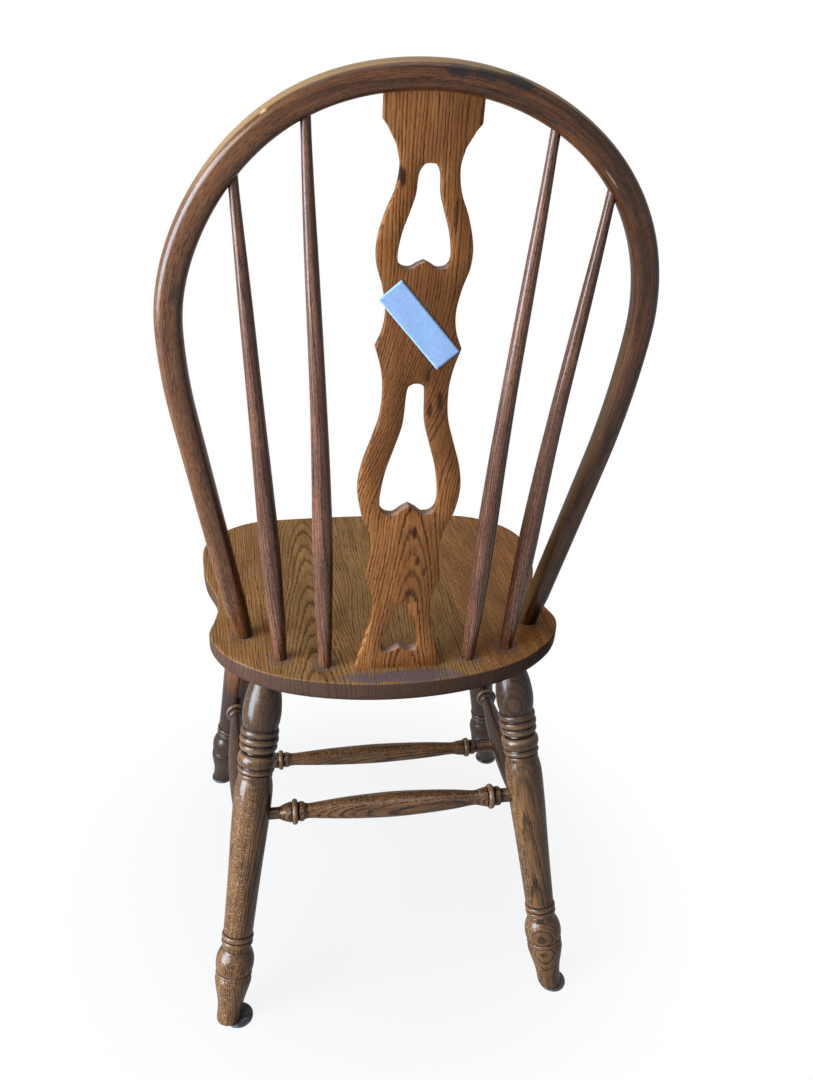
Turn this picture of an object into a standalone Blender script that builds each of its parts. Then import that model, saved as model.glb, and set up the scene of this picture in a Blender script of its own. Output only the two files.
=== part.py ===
"""A bow-back side chair in turned and bent oak, at its real size.

Frame: metres, +Z up. The sitter faces -Y, so their left hand is at +X. The origin is on the floor,
under the middle of the chair. Sizes can be changed one by one: every socket, slot and tenon takes
its place from the same values as the piece that goes into it.
"""

import math

import bmesh
import bpy
from mathutils import Matrix, Vector

# Fits
CLEARANCE = 0.0003          # gap round every tenon, at every tenon's end and under every foot
SOCKET_SIDES = 14

# Foot pads
PAD_RADIUS = 0.017
PAD_THICKNESS = 0.0035
PAD_EDGE = 0.0008
PAD_SHIFT_REAR_LEFT = (-0.0122, 0.0)    # this pad has slid inwards from under its foot
PAD_SHIFT_REAR_RIGHT = (-0.0042, 0.0)   # this one has slid outwards a little

# Seat
SEAT_TOP = 0.4538           # height of the flat rim round the dish
SEAT_THICKNESS = 0.028
SEAT_MIDDLE = (0.0, -0.032)             # the dish narrows towards this point
SEAT_FRONT = 0.2445         # from the origin to the front edge
SEAT_REAR = 0.1795          # from the origin to the rear edge
SEAT_FRONT_CORNER = (0.2255, -0.132)    # widest point of the front
SEAT_WAIST = (0.2015, 0.004)            # narrowest point of the sides
SEAT_REAR_CORNER = (0.2100, 0.060)      # widest point of the rear
SEAT_UNDERCUT = 0.014
SEAT_TOP_ROUND = 0.002
DISH_DEPTH = 0.006

# Bow: its centre line is a half circle with full shoulders, a side curve and a straight run to the foot
BOW_RADIUS = 0.2196
BOW_SHOULDERS = {1: 0.0006, -1: 0.0014}     # how far each shoulder stands out from the half circle
BOW_LIFTS = {1: 0.0042, -1: -0.0011}        # how much of that has moved up towards the crown
BOW_EQUATOR = 0.385         # height of the half circle's centre over the seat, up the bow
BOW_BENDS = {1: 0.0868, -1: 0.1464}     # height of each side's curve; the left one is the shorter
BOW_FEET_OUT = {1: 0.1697, -1: 0.1728}  # from the bow's middle to the axis of each foot
BOW_LEAN = math.radians(12.82)
BOW_FOOT_X_SHIFT = 0.0008   # the whole bow stands this far to the sitter's left
BOW_FOOT_Y = SEAT_REAR - 0.1135
BOW_WIDTH = 0.0226          # across the crown
BOW_SIDE_WIDTH = 0.0247     # across each side, where the bow was bent less
BOW_DEPTH = 0.0220
BOW_CORNER = 0.0055
BOW_FOOT_RADIUS = 0.0106
BOW_FOOT_BLEND = 0.045      # length over which the bow turns round above the seat
BOW_TENON = 0.020

# Splat
SPLAT_Y = SEAT_REAR - 0.036  # middle of the splat's thickness, at the seat
SPLAT_THICKNESS = 0.011
SPLAT_TENON = 0.014
SPLAT_TONGUE = 0.008        # how far the top goes into the bow
SPLAT_BLOCK = 0.040         # half the width of the square block at the top
SPLAT_FOOT = 0.048          # half the width at the seat
SPLAT_NECK = 0.0246         # half the width of the narrowest place
SPLAT_DRAWN = 0.5808        # the height over the seat for which the fretted outline was drawn

# Spindles
# Each has its foot on the seat (x, y), the angle round the bow where it ends, and a sideways spring
SPINDLES = {
    "outer_left": ((0.1290, SEAT_REAR - 0.0610), math.radians(43.9), -0.0003),
    "inner_left": ((0.0802, SEAT_REAR - 0.0425), math.radians(63.1), -0.0026),
    "inner_right": ((-0.0820, SEAT_REAR - 0.0425), math.radians(118.1), 0.0028),
    "outer_right": ((-0.1315, SEAT_REAR - 0.0610), math.radians(137.6), 0.0034),
}
SPINDLE_FOOT_RADIUS = 0.0071
SPINDLE_BELLY_RADIUS = 0.0104
SPINDLE_TIP_RADIUS = 0.0044
SPINDLE_TENON = 0.016
SPINDLE_TIP_LENGTH = 0.027  # straight end that goes up into the bow

# Legs: where each axis leaves the seat, and where it meets the floor
LEG_TOPS = {"front": (0.156, 0.0835 - SEAT_FRONT), "rear": (0.1448, SEAT_REAR - 0.0809)}
LEG_FEET = {"front": (0.223, -0.2079), "rear": (0.2047, 0.2275)}
LEG_TENON = 0.019
LEG_TENON_RADIUS = 0.014
LEG_RADIUS = 0.0226         # widest places of the vase, the rings and the body
LEG_WAIST_RADIUS = 0.0165   # narrow neck under the three rings
LEG_ANKLE_RADIUS = 0.0174
LEG_TOE_RADIUS = 0.0148
FOOT_WEAR = 0.0016          # worn bevel round the bottom of each foot

# Stretchers: how far down the leg axes they sit, from the seat's underside
REAR_STRETCHER_DROP = 0.1812
SIDE_STRETCHER_REAR_DROP = 0.2440
SIDE_STRETCHER_FRONT_DROP = 0.2490
MIDDLE_STRETCHER_SHARE = 0.53           # along the side stretchers, from rear to front
STRETCHER_START_RADIUS = 0.0071         # the end at the sitter's left, or at the front
STRETCHER_END_RADIUS = 0.0086           # the other end
STRETCHER_RING_RADIUS = 0.0152
STRETCHER_BELLY_RADIUS = 0.0150
MIDDLE_STRETCHER_SCALE = 0.88           # the middle one is turned slimmer
STRETCHER_RINGS = {         # where each stretcher's two rings sit, in from the ends of its axis
    "side": (0.0510, 0.0500), "rear": (0.0520, 0.0465), "middle": (0.0570, 0.0530),
}
TENON_TIP_IN_LEG = 0.006    # how far each tenon stops short of the leg's axis
TENON_TIP_IN_STRETCHER = 0.003

LATHE_SIDES = {"leg": 14, "spindle": 10, "stretcher": 12, "pad": 14}
SIDES = {"left": 1, "right": -1}

SEAT_UNDERSIDE = SEAT_TOP - SEAT_THICKNESS
FOOT_PLANE = PAD_THICKNESS + CLEARANCE


def clear_scene():
    for old in list(bpy.data.objects):
        bpy.data.objects.remove(old, do_unlink=True)


def material(name, colour, roughness, metallic=0.0):
    made = bpy.data.materials.new(name)
    made.use_nodes = True
    shader = made.node_tree.nodes["Principled BSDF"]
    shader.inputs["Base Color"].default_value = (*colour, 1.0)
    shader.inputs["Roughness"].default_value = roughness
    shader.inputs["Metallic"].default_value = metallic
    return made


def object_from(name, bm, finish=None, sharp=math.radians(35)):
    """Turns a bmesh into an object, shaded smooth apart from its hard edges."""
    bmesh.ops.recalc_face_normals(bm, faces=bm.faces)
    mesh = bpy.data.meshes.new(name)
    bm.to_mesh(mesh)
    bm.free()
    mesh.shade_smooth()
    mesh.set_sharp_from_angle(angle=sharp)
    if finish:
        mesh.materials.append(finish)
    made = bpy.data.objects.new(name, mesh)
    bpy.context.scene.collection.objects.link(made)
    return made


def aim(piece, start, end):
    """Puts a piece whose length lies on its own +Z onto the line from start to end."""
    piece.location = start
    piece.rotation_mode = "QUATERNION"
    piece.rotation_quaternion = (end - start).to_track_quat("Z", "Y")


def smooth_line(knots, steps):
    """Points on a smooth curve through the knots, which are tuples; its ends are free."""
    ends = [Vector(knots[0]) * 2 - Vector(knots[1]), Vector(knots[-1]) * 2 - Vector(knots[-2])]
    around = [ends[0], *map(Vector, knots), ends[1]]
    line = []
    for before, start, end, after in zip(around, around[1:], around[2:], around[3:]):
        for step in range(steps):
            t = step / steps
            line.append(
                0.5
                * (
                    2 * start
                    + (end - before) * t
                    + (2 * before - 5 * start + 4 * end - after) * t**2
                    + (3 * start - before - 3 * end + after) * t**3
                )
            )
    return line + [Vector(knots[-1])]


def bead(start, length, edge, crown, steps=4):
    """A half-round swelling on a turned profile, as (place, radius) pairs."""
    points = []
    for step in range(steps + 1):
        angle = math.pi * step / steps
        place = start + length * (1 - math.cos(angle)) / 2
        points.append((place, edge + (crown - edge) * math.sin(angle)))
    return points


def lathe(profile, sides):
    """Spins (place, radius) pairs about +Z and closes both ends."""
    bm = bmesh.new()
    points = [bm.verts.new((radius, 0, place)) for place, radius in profile]
    edges = [bm.edges.new(pair) for pair in zip(points, points[1:])]
    bmesh.ops.spin(
        bm, geom=points + edges, axis=(0, 0, 1), cent=(0, 0, 0),
        angle=2 * math.pi, steps=sides, use_merge=True,
    )
    bmesh.ops.holes_fill(bm, edges=[edge for edge in bm.edges if edge.is_boundary], sides=0)
    return bm


def round_cutter(name, start, end, radius):
    """A hidden rod that bores a socket from start to end, clear of a tenon of this radius."""
    bored = (radius + CLEARANCE) / math.cos(math.pi / SOCKET_SIDES)
    bm = lathe([(0, bored), ((end - start).length, bored)], SOCKET_SIDES)
    cutter = object_from(name, bm)
    aim(cutter, start, end)
    return cutter


def cut(piece, cutters):
    """Takes the cutters out of the piece with one Boolean over their collection."""
    group = bpy.data.collections.new(piece.name + "_cutters")
    bpy.context.scene.collection.children.link(group)
    for cutter in cutters:
        cutter.hide_render = True
        cutter.display_type = "WIRE"
        bpy.context.scene.collection.objects.unlink(cutter)
        group.objects.link(cutter)
    boolean = piece.modifiers.new("sockets", "BOOLEAN")
    boolean.operation = "DIFFERENCE"
    boolean.solver = "EXACT"
    boolean.operand_type = "COLLECTION"
    boolean.collection = group


# Where the bow runs

def bow_splay(side):
    """How far a side's straight run leans in towards its foot."""
    return math.atan((BOW_RADIUS - BOW_FEET_OUT[side]) / (BOW_EQUATOR - BOW_BENDS[side] / 2))


def bow_relief():
    """How far up the bow its foot stays round, so that it clears the socket where it leans."""
    return (BOW_FOOT_RADIUS + CLEARANCE) * math.tan(BOW_LEAN)


def bow_curve(side, angle):
    """A point of the bow's centre line at an angle round the half circle, as (out, up)."""
    fullness = BOW_SHOULDERS[side] - BOW_LIFTS[side] * math.cos(2 * angle)
    radius = BOW_RADIUS + fullness * math.sin(2 * angle) ** 2
    return radius * math.cos(angle), BOW_EQUATOR + radius * math.sin(angle)


def bow_line(side, curve_steps=14, side_steps=4, straight_steps=2):
    """One half of the bow's centre line, as (distance out, up the bow, heading) from foot to crown."""
    splay = bow_splay(side)
    side_radius = BOW_BENDS[side] / math.sin(splay)
    bend_x = BOW_RADIUS - side_radius * (1 - math.cos(splay))
    bend_up = BOW_EQUATOR - BOW_BENDS[side]
    straight = bend_up / math.cos(splay)
    lengths = [-BOW_TENON, 0.0, bow_relief(), BOW_FOOT_BLEND / 2, BOW_FOOT_BLEND]
    for step in range(1, straight_steps):
        lengths.append(BOW_FOOT_BLEND + (straight - BOW_FOOT_BLEND) * step / straight_steps)
    line = []
    for length in lengths:
        back = straight - length
        line.append((bend_x - back * math.sin(splay), bend_up - back * math.cos(splay), splay))
    for step in range(side_steps):
        angle = splay * (1 - step / side_steps)
        across = BOW_RADIUS - side_radius * (1 - math.cos(angle))
        line.append((across, BOW_EQUATOR - side_radius * math.sin(angle), angle))
    for step in range(curve_steps + 1):
        angle = math.pi / 2 * step / curve_steps
        line.append((*bow_curve(side, angle), -angle))
    return line


def bow_matrix():
    place = Matrix.Translation((BOW_FOOT_X_SHIFT, BOW_FOOT_Y, SEAT_TOP))
    return place @ Matrix.Rotation(-BOW_LEAN, 4, "X")


def on_bow(x, up):
    return bow_matrix() @ Vector((x, 0, up))


def bow_foot(side):
    """The points where a foot's axis meets the seat's top, and a tenon's length further down."""
    tip_x, tip_up, _ = bow_line(side)[0]
    seat_x, seat_up, _ = bow_line(side)[1]
    return on_bow(side * seat_x, seat_up), on_bow(side * tip_x, tip_up)


# Where the turned pieces run

def leg_axis(row, side):
    top = Vector((side * LEG_TOPS[row][0], LEG_TOPS[row][1], SEAT_UNDERSIDE))
    foot = Vector((side * LEG_FEET[row][0], LEG_FEET[row][1], FOOT_PLANE))
    return top, foot


def down_leg(row, side, drop):
    top, foot = leg_axis(row, side)
    return top + (foot - top).normalized() * drop


def side_stretcher_axis(side):
    rear = down_leg("rear", side, SIDE_STRETCHER_REAR_DROP)
    front = down_leg("front", side, SIDE_STRETCHER_FRONT_DROP)
    return front, rear


def middle_stretcher_axis():
    ends = []
    for side in (1, -1):
        front, rear = side_stretcher_axis(side)
        ends.append(rear.lerp(front, MIDDLE_STRETCHER_SHARE))
    return ends


def rear_stretcher_axis():
    return [down_leg("rear", side, REAR_STRETCHER_DROP) for side in (1, -1)]


def spindle_axis(name):
    foot, angle, _ = SPINDLES[name]
    side = 1 if angle < math.pi / 2 else -1
    return Vector((*foot, SEAT_TOP)), on_bow(*bow_curve(side, angle))


def splat_frame():
    """The splat's matrix at the seat, and its height up to the crown's inner edge."""
    crown = on_bow(-BOW_FOOT_X_SHIFT, BOW_EQUATOR + BOW_RADIUS - BOW_WIDTH / 2)
    rise = crown - Vector((0, SPLAT_Y, SEAT_TOP))
    lean = math.atan2(rise.y, rise.z)
    place = Matrix.Translation((0, SPLAT_Y, SEAT_TOP)) @ Matrix.Rotation(-lean, 4, "X")
    return place, rise.length


def drilled(name, inside, outside, radius):
    """A socket cutter whose blind end keeps its clearance from the tenon's tip at inside."""
    direction = (outside - inside).normalized()
    return round_cutter(name, inside - direction * CLEARANCE, outside, radius)


# Seat

def seat_outline(steps=2):
    """The shield-shaped edge, anticlockwise from the middle of the front."""
    corner_x, corner_y = SEAT_FRONT_CORNER
    waist_x, waist_y = SEAT_WAIST
    rear_x, rear_y = SEAT_REAR_CORNER
    back = SEAT_REAR - rear_y
    half = [
        (0.0, -SEAT_FRONT),
        (0.47 * corner_x, -SEAT_FRONT + 0.004),
        (0.72 * corner_x, -SEAT_FRONT + 0.013),
        (0.90 * corner_x, -SEAT_FRONT + 0.042),
        (corner_x - 0.003, corner_y - 0.036),
        (corner_x, corner_y),
        (corner_x - 0.0065, corner_y + 0.062),
        (waist_x + 0.004, waist_y - 0.030),
        (waist_x, waist_y),
        (waist_x + 0.003, waist_y + 0.027),
        (rear_x, rear_y),
        (rear_x - 0.0065, rear_y + 0.218 * back),
        (0.885 * rear_x, rear_y + 0.448 * back),
        (0.715 * rear_x, rear_y + 0.699 * back),
        (0.515 * rear_x, rear_y + 0.862 * back),
        (0.26 * rear_x, rear_y + 0.967 * back),
        (0.0, SEAT_REAR),
    ]
    other = [(-x, y) for x, y in reversed(half[1:-1])]
    ring = half + other + [half[0]]
    return smooth_line([ring[-2], *ring, ring[1]], steps)[steps:-steps - 1]


def make_seat(finish):
    """A slab with a soft top edge, a deep undercut and a shallow dish, sunk in rings."""
    bm = bmesh.new()
    rim = [bm.verts.new((point.x, point.y, SEAT_TOP)) for point in seat_outline()]
    top = bm.faces.new(rim)
    under = bmesh.ops.extrude_face_region(bm, geom=[top], use_keep_orig=True)["geom"]
    moved = [part for part in under if isinstance(part, bmesh.types.BMVert)]
    bmesh.ops.translate(bm, verts=moved, vec=(0, 0, -SEAT_THICKNESS))
    bmesh.ops.recalc_face_normals(bm, faces=bm.faces)
    lower = [edge for edge in bm.edges if all(vert.co.z < SEAT_TOP - 0.001 for vert in edge.verts)]
    bmesh.ops.bevel(
        bm, geom=lower, offset=SEAT_UNDERCUT, offset_type="OFFSET", segments=3, profile=0.5,
        affect="EDGES", material=-1, clamp_overlap=False,
    )
    top = max(bm.faces, key=lambda face: face.calc_center_median().z)
    bmesh.ops.bevel(
        bm, geom=list(top.edges), offset=SEAT_TOP_ROUND, offset_type="OFFSET", segments=2,
        profile=0.5, affect="EDGES", material=-1,
    )
    level = [face for face in bm.faces if face.calc_center_median().z > SEAT_TOP - 1e-5]
    top = max(level, key=lambda face: face.calc_area())
    middle = Vector((*SEAT_MIDDLE, 0))
    size = 1.0
    for share, depth in ((0.80, 0.0), (0.64, 0.35), (0.46, 0.82), (0.24, 1.0)):
        bmesh.ops.inset_region(bm, faces=[top], thickness=0.0005, use_even_offset=True)
        shrink = share / size
        bmesh.ops.scale(
            bm, verts=top.verts, vec=(shrink, shrink, 1), space=Matrix.Translation(-middle),
        )
        for vert in top.verts:
            vert.co.z = SEAT_TOP - DISH_DEPTH * depth
        size = share
    seat = object_from("seat", bm, finish)
    cut(seat, seat_sockets())
    return seat


def seat_sockets():
    cutters = []
    for hand, side in SIDES.items():
        at_seat, tip = bow_foot(side)
        above = at_seat + (at_seat - tip)
        cutters.append(drilled("bow_socket_" + hand, tip, above, BOW_FOOT_RADIUS))
        for row in LEG_TOPS:
            top, foot = leg_axis(row, side)
            along = (foot - top).normalized() * LEG_TENON
            name = f"leg_{row}_socket_{hand}"
            cutters.append(drilled(name, top - along, top + along, LEG_TENON_RADIUS))
    for name in SPINDLES:
        foot, bow_end = spindle_axis(name)
        along = (bow_end - foot).normalized() * SPINDLE_TENON
        cutters.append(drilled(f"spindle_{name}_socket", foot - along, foot + along, SPINDLE_FOOT_RADIUS))
    slot = slot_cutter("splat_slot", SPLAT_FOOT, -SPLAT_TENON, SPLAT_TENON)
    return [*cutters, slot]


def slot_cutter(name, half_width, low, high):
    """A hidden block that makes the splat's slot, from low to high up the splat's own plane."""
    place, _ = splat_frame()
    bm = bmesh.new()
    bmesh.ops.create_cube(bm, size=1.0)
    size = (2 * (half_width + CLEARANCE), SPLAT_THICKNESS + 2 * CLEARANCE, high - low + 2 * CLEARANCE)
    bmesh.ops.scale(bm, verts=bm.verts, vec=size)
    bmesh.ops.translate(bm, verts=bm.verts, vec=(0, 0, (low + high) / 2))
    cutter = object_from(name, bm)
    cutter.matrix_world = place
    return cutter


# Bow

def rounded_section(width, depth, corner, steps=3):
    """Points round a rectangle with round corners, centred, across the bow and through it."""
    points = []
    for turn, (across, through) in enumerate(((1, 1), (-1, 1), (-1, -1), (1, -1))):
        for step in range(steps):
            angle = math.pi / 2 * (turn + step / (steps - 1))
            points.append((
                across * (width / 2 - corner) + corner * math.cos(angle),
                through * (depth / 2 - corner) + corner * math.sin(angle),
            ))
    return points


def make_bow(finish):
    """One steam-bent rod: a rounded oblong section that turns round where it enters the seat."""
    stations = [(1, *station) for station in bow_line(1)]
    stations += [(-1, *station) for station in reversed(bow_line(-1)[:-1])]
    bm = bmesh.new()
    rings = []
    for side, out, up, heading in stations:
        height = up / math.cos(bow_splay(side)) - bow_relief()
        oblong = min(max(height / (BOW_FOOT_BLEND - bow_relief()), 0.0), 1.0)
        width = BOW_SIDE_WIDTH + (BOW_WIDTH - BOW_SIDE_WIDTH) * math.sin(min(heading, 0)) ** 2
        width = 2 * BOW_FOOT_RADIUS + (width - 2 * BOW_FOOT_RADIUS) * oblong
        depth = 2 * BOW_FOOT_RADIUS + (BOW_DEPTH - 2 * BOW_FOOT_RADIUS) * oblong
        corner = BOW_FOOT_RADIUS + (BOW_CORNER - BOW_FOOT_RADIUS) * oblong - 0.0001
        ring = []
        for across, through in rounded_section(width, depth, corner):
            x = side * (out + across * math.cos(heading))
            ring.append(bm.verts.new((x, through, up - across * math.sin(heading))))
        rings.append(ring)
    for ring, following in zip(rings, rings[1:]):
        for here in range(len(ring)):
            beside = (here + 1) % len(ring)
            bm.faces.new((ring[here], ring[beside], following[beside], following[here]))
    bm.faces.new(rings[0])
    bm.faces.new(rings[-1])
    bow = object_from("bow", bm, finish)
    bow.matrix_world = bow_matrix()
    cutters = []
    for name in SPINDLES:
        foot, tip = spindle_axis(name)
        below = tip + (foot - tip).normalized() * 2 * SPINDLE_TIP_LENGTH
        cutters.append(drilled(f"bow_{name}_socket", tip, below, SPINDLE_TIP_RADIUS))
    _, height = splat_frame()
    cutters.append(slot_cutter("bow_slot", SPLAT_BLOCK, height - 3 * SPLAT_TONGUE, height + SPLAT_TONGUE))
    cut(bow, cutters)
    return bow


# Splat

def splat_edge(height):
    """Half the splat's outline as (half width, height), from the seat slot to the top."""
    neck = SPLAT_NECK
    foot_curve = [(SPLAT_FOOT, 0.0), (0.0385, 0.038), (0.0315, 0.070), (0.0308, 0.092), (0.0345, 0.107)]
    lower_ear = (0.0395, 0.119)
    lower_bulge = [
        lower_ear, (0.0352, 0.150), (0.0378, 0.177), (0.0470, 0.200), (0.0510, 0.227),
        (0.0478, 0.252), (0.0395, 0.279), (0.0325, 0.303), (0.0305, 0.328), (0.0328, 0.350),
    ]
    upper_ear = (0.0392, 0.372)
    upper_bulge = [
        upper_ear, (0.0330, 0.388), (0.0312, 0.406), (0.0350, 0.427), (0.0405, 0.445),
        (0.0410, 0.464), (0.0352, 0.487), (0.0275, 0.506), (neck, 0.525), (neck + 0.0033, 0.5405),
    ]
    block = [(SPLAT_BLOCK - 0.0045, 0.5535), (SPLAT_BLOCK, 0.559)]
    fretted = smooth_line(foot_curve + [lower_ear], 2)[:-1]
    fretted += smooth_line(lower_bulge + [upper_ear], 2)[:-1]
    fretted += smooth_line(upper_bulge, 2)
    fretted += map(Vector, block)
    edge = [Vector((SPLAT_FOOT, -SPLAT_TENON))]
    edge += [Vector((point.x, point.y * height / SPLAT_DRAWN)) for point in fretted]
    edge.append(Vector((SPLAT_BLOCK, height + SPLAT_TONGUE)))
    return edge


def bell(height, top, bottom, shoulder, hip, steps=2):
    """A bell-shaped piercing: a round head, swelling hips and two lobes with a cusp between."""
    top *= height / SPLAT_DRAWN
    bottom *= height / SPLAT_DRAWN
    tall = top - bottom
    swell = hip - shoulder
    side = [
        (0.0, top), (0.55 * shoulder, top - 0.14 * shoulder), (shoulder, top - 0.90 * shoulder),
        (shoulder + 0.10 * swell, top - 0.28 * tall), (shoulder + 0.38 * swell, top - 0.44 * tall),
        (shoulder + 0.80 * swell, top - 0.65 * tall), (hip, top - 0.84 * tall),
        (0.97 * hip, bottom + 0.060 * tall), (0.80 * hip, bottom + 0.010 * tall), (0.50 * hip, bottom),
        (0.24 * hip, bottom + 0.040 * tall), (0.0, bottom + 0.070 * tall),
    ]
    right = smooth_line(side, steps)
    left = [Vector((-point.x, point.y)) for point in reversed(right[1:-1])]
    return right + left


def make_splat(finish):
    """A board with a fretted edge and three bell-shaped piercings, filled and then thickened."""
    place, height = splat_frame()
    right = splat_edge(height)
    outer = right + [Vector((-point.x, point.y)) for point in reversed(right)]
    loops = [
        outer,
        bell(height, 0.5285, 0.4435, 0.0094, 0.0235),
        bell(height, 0.3385, 0.1985, 0.0087, 0.0292),
        bell(height, 0.0890, 0.0240, 0.0078, 0.0205),
    ]
    bm = bmesh.new()
    edges = []
    for loop in loops:
        ring = [bm.verts.new((point.x, -SPLAT_THICKNESS / 2, point.y)) for point in loop]
        edges += [bm.edges.new(pair) for pair in zip(ring, ring[1:] + ring[:1])]
    bmesh.ops.triangle_fill(bm, use_beauty=True, edges=edges)
    face = list(bm.faces)
    raised = bmesh.ops.extrude_face_region(bm, geom=face, use_keep_orig=True)["geom"]
    moved = [part for part in raised if isinstance(part, bmesh.types.BMVert)]
    bmesh.ops.translate(bm, verts=moved, vec=(0, SPLAT_THICKNESS, 0))
    splat = object_from("splat", bm, finish)
    splat.matrix_world = place
    return splat


# Spindles

def make_spindle(name, finish):
    """A slim turned stick, fullest low down, thinnest at the bow, and sprung a little sideways."""
    foot, tip = spindle_axis(name)
    spring = SPINDLES[name][2]
    length = (tip - foot).length
    neck = length - SPINDLE_TIP_LENGTH
    belly = SPINDLE_BELLY_RADIUS
    above = belly - SPINDLE_TIP_RADIUS
    profile = [
        (-SPINDLE_TENON, SPINDLE_FOOT_RADIUS - 0.0008), (-SPINDLE_TENON + 0.001, SPINDLE_FOOT_RADIUS),
        (0.003, SPINDLE_FOOT_RADIUS), (0.13 * neck, belly - 0.0012), (0.29 * neck, belly),
        (0.45 * neck, belly - 0.20 * above), (0.60 * neck, belly - 0.44 * above),
        (0.80 * neck, belly - 0.66 * above), (0.93 * neck, belly - 0.88 * above),
        (neck, SPINDLE_TIP_RADIUS), (length - 0.0008, SPINDLE_TIP_RADIUS),
        (length, SPINDLE_TIP_RADIUS - 0.0006),
    ]
    bm = lathe(profile, LATHE_SIDES["spindle"])
    towards_x = (tip - foot).to_track_quat("Z", "Y").inverted() @ Vector((1, 0, 0))
    for vert in bm.verts:
        share = min(max(vert.co.z / neck, 0.0), 1.0)
        vert.co += towards_x * spring * math.sin(math.pi * share) ** 2
    spindle = object_from("spindle_" + name, bm, finish)
    aim(spindle, foot, tip)
    return spindle


# Legs

def leg_profile(length, lean):
    """Vase, three rings, collar and body down from the seat; ankle rings and foot up from the floor."""
    full = LEG_RADIUS
    relief = LEG_TENON_RADIUS * math.tan(lean) + 2 * CLEARANCE
    profile = [
        (-LEG_TENON, LEG_TENON_RADIUS - 0.001), (-LEG_TENON + 0.0012, LEG_TENON_RADIUS),
        (relief, LEG_TENON_RADIUS), (0.015, full - 0.0060), (0.031, full - 0.0018), (0.048, full),
        (0.0685, full - 0.0022),
    ]
    profile += bead(0.0702, 0.0086, full - 0.0017, full - 0.0002, 3)
    profile += bead(0.0792, 0.0086, full - 0.0014, full + 0.0003, 3)
    profile += bead(0.0882, 0.0086, full - 0.0026, full - 0.0004, 3)
    profile += [(0.0988, LEG_WAIST_RADIUS)]
    profile += bead(0.1010, 0.0170, full - 0.0046, full + 0.0002, 4)[:-1]
    profile += [(0.1180, full - 0.0017), (0.1213, full - 0.0008), (0.1252, full - 0.0034)]
    profile += [(0.1280, full - 0.0027)]
    body = [(0.143, full - 0.0006), (0.160, full), (0.200, full - 0.0008), (0.240, full - 0.0024)]
    profile += [*body, (length - 0.150, full - 0.0040), (length - 0.1165, full - 0.0048)]
    profile += bead(length - 0.1130, 0.0068, full - 0.0050, full - 0.0036, 2)
    profile += bead(length - 0.1055, 0.0068, full - 0.0050, full - 0.0038, 2)
    profile += [(length - 0.0935, LEG_ANKLE_RADIUS), (length - 0.0880, full - 0.0024)]
    profile += [(length - 0.0800, full + 0.0001), (length - 0.0700, full + 0.0003)]
    profile += [(length - 0.0628, full - 0.0014), (length - 0.0605, full - 0.0006)]
    profile += [(length - 0.0580, full - 0.0014), (length - 0.0520, full - 0.0005)]
    profile += [(length - 0.0400, full - 0.0026), (length - 0.0230, LEG_TOE_RADIUS + 0.0014)]
    profile += [(length - 0.0080, LEG_TOE_RADIUS), (length + 0.0120, LEG_TOE_RADIUS + 0.0004)]
    return profile


def make_leg(row, hand, finish):
    """A turned leg, sawn level at the floor and bored for its stretchers."""
    top, foot = leg_axis(row, SIDES[hand])
    along = foot - top
    lean = along.angle(Vector((0, 0, -1)))
    bm = lathe(leg_profile(along.length, lean), LATHE_SIDES["leg"])
    level = along.to_track_quat("Z", "Y").inverted() @ Vector((0, 0, 1))
    bmesh.ops.bisect_plane(
        bm, geom=bm.verts[:] + bm.edges[:] + bm.faces[:], plane_co=(0, 0, along.length),
        plane_no=level, clear_inner=True,
    )
    open_edges = [edge for edge in bm.edges if edge.is_boundary]
    sole = bmesh.ops.holes_fill(bm, edges=open_edges, sides=0)["faces"][0]
    bmesh.ops.bevel(
        bm, geom=list(sole.edges), offset=FOOT_WEAR, offset_type="OFFSET", segments=1,
        affect="EDGES", material=-1,
    )
    leg = object_from(f"leg_{row}_{hand}", bm, finish)
    aim(leg, top, foot)
    cut(leg, leg_mortises(row, hand))
    return leg


def leg_mortises(row, hand):
    """Blind holes for the tenons, from just short of the leg's axis out through its side."""
    front, rear = side_stretcher_axis(SIDES[hand])
    if row == "front":
        tenons = {"side": (front, rear, STRETCHER_START_RADIUS)}
    else:
        tenons = {"side": (rear, front, STRETCHER_END_RADIUS)}
        left, right = rear_stretcher_axis()
        if hand == "left":
            tenons["rear"] = (left, right, STRETCHER_START_RADIUS)
        else:
            tenons["rear"] = (right, left, STRETCHER_END_RADIUS)
    cutters = []
    for stretcher, (here, there, radius) in tenons.items():
        along = (there - here).normalized()
        tip = here + along * TENON_TIP_IN_LEG
        outside = here + along * 2 * LEG_RADIUS
        cutters.append(drilled(f"{stretcher}_mortise_{row}_{hand}", tip, outside, radius))
    return cutters


# Stretchers

def tenon_radii(scale):
    """The radii of a stretcher's two ends; a slimmer stretcher's ends lose half as much."""
    return STRETCHER_START_RADIUS * (scale + 1) / 2, STRETCHER_END_RADIUS * (scale + 1) / 2


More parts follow.
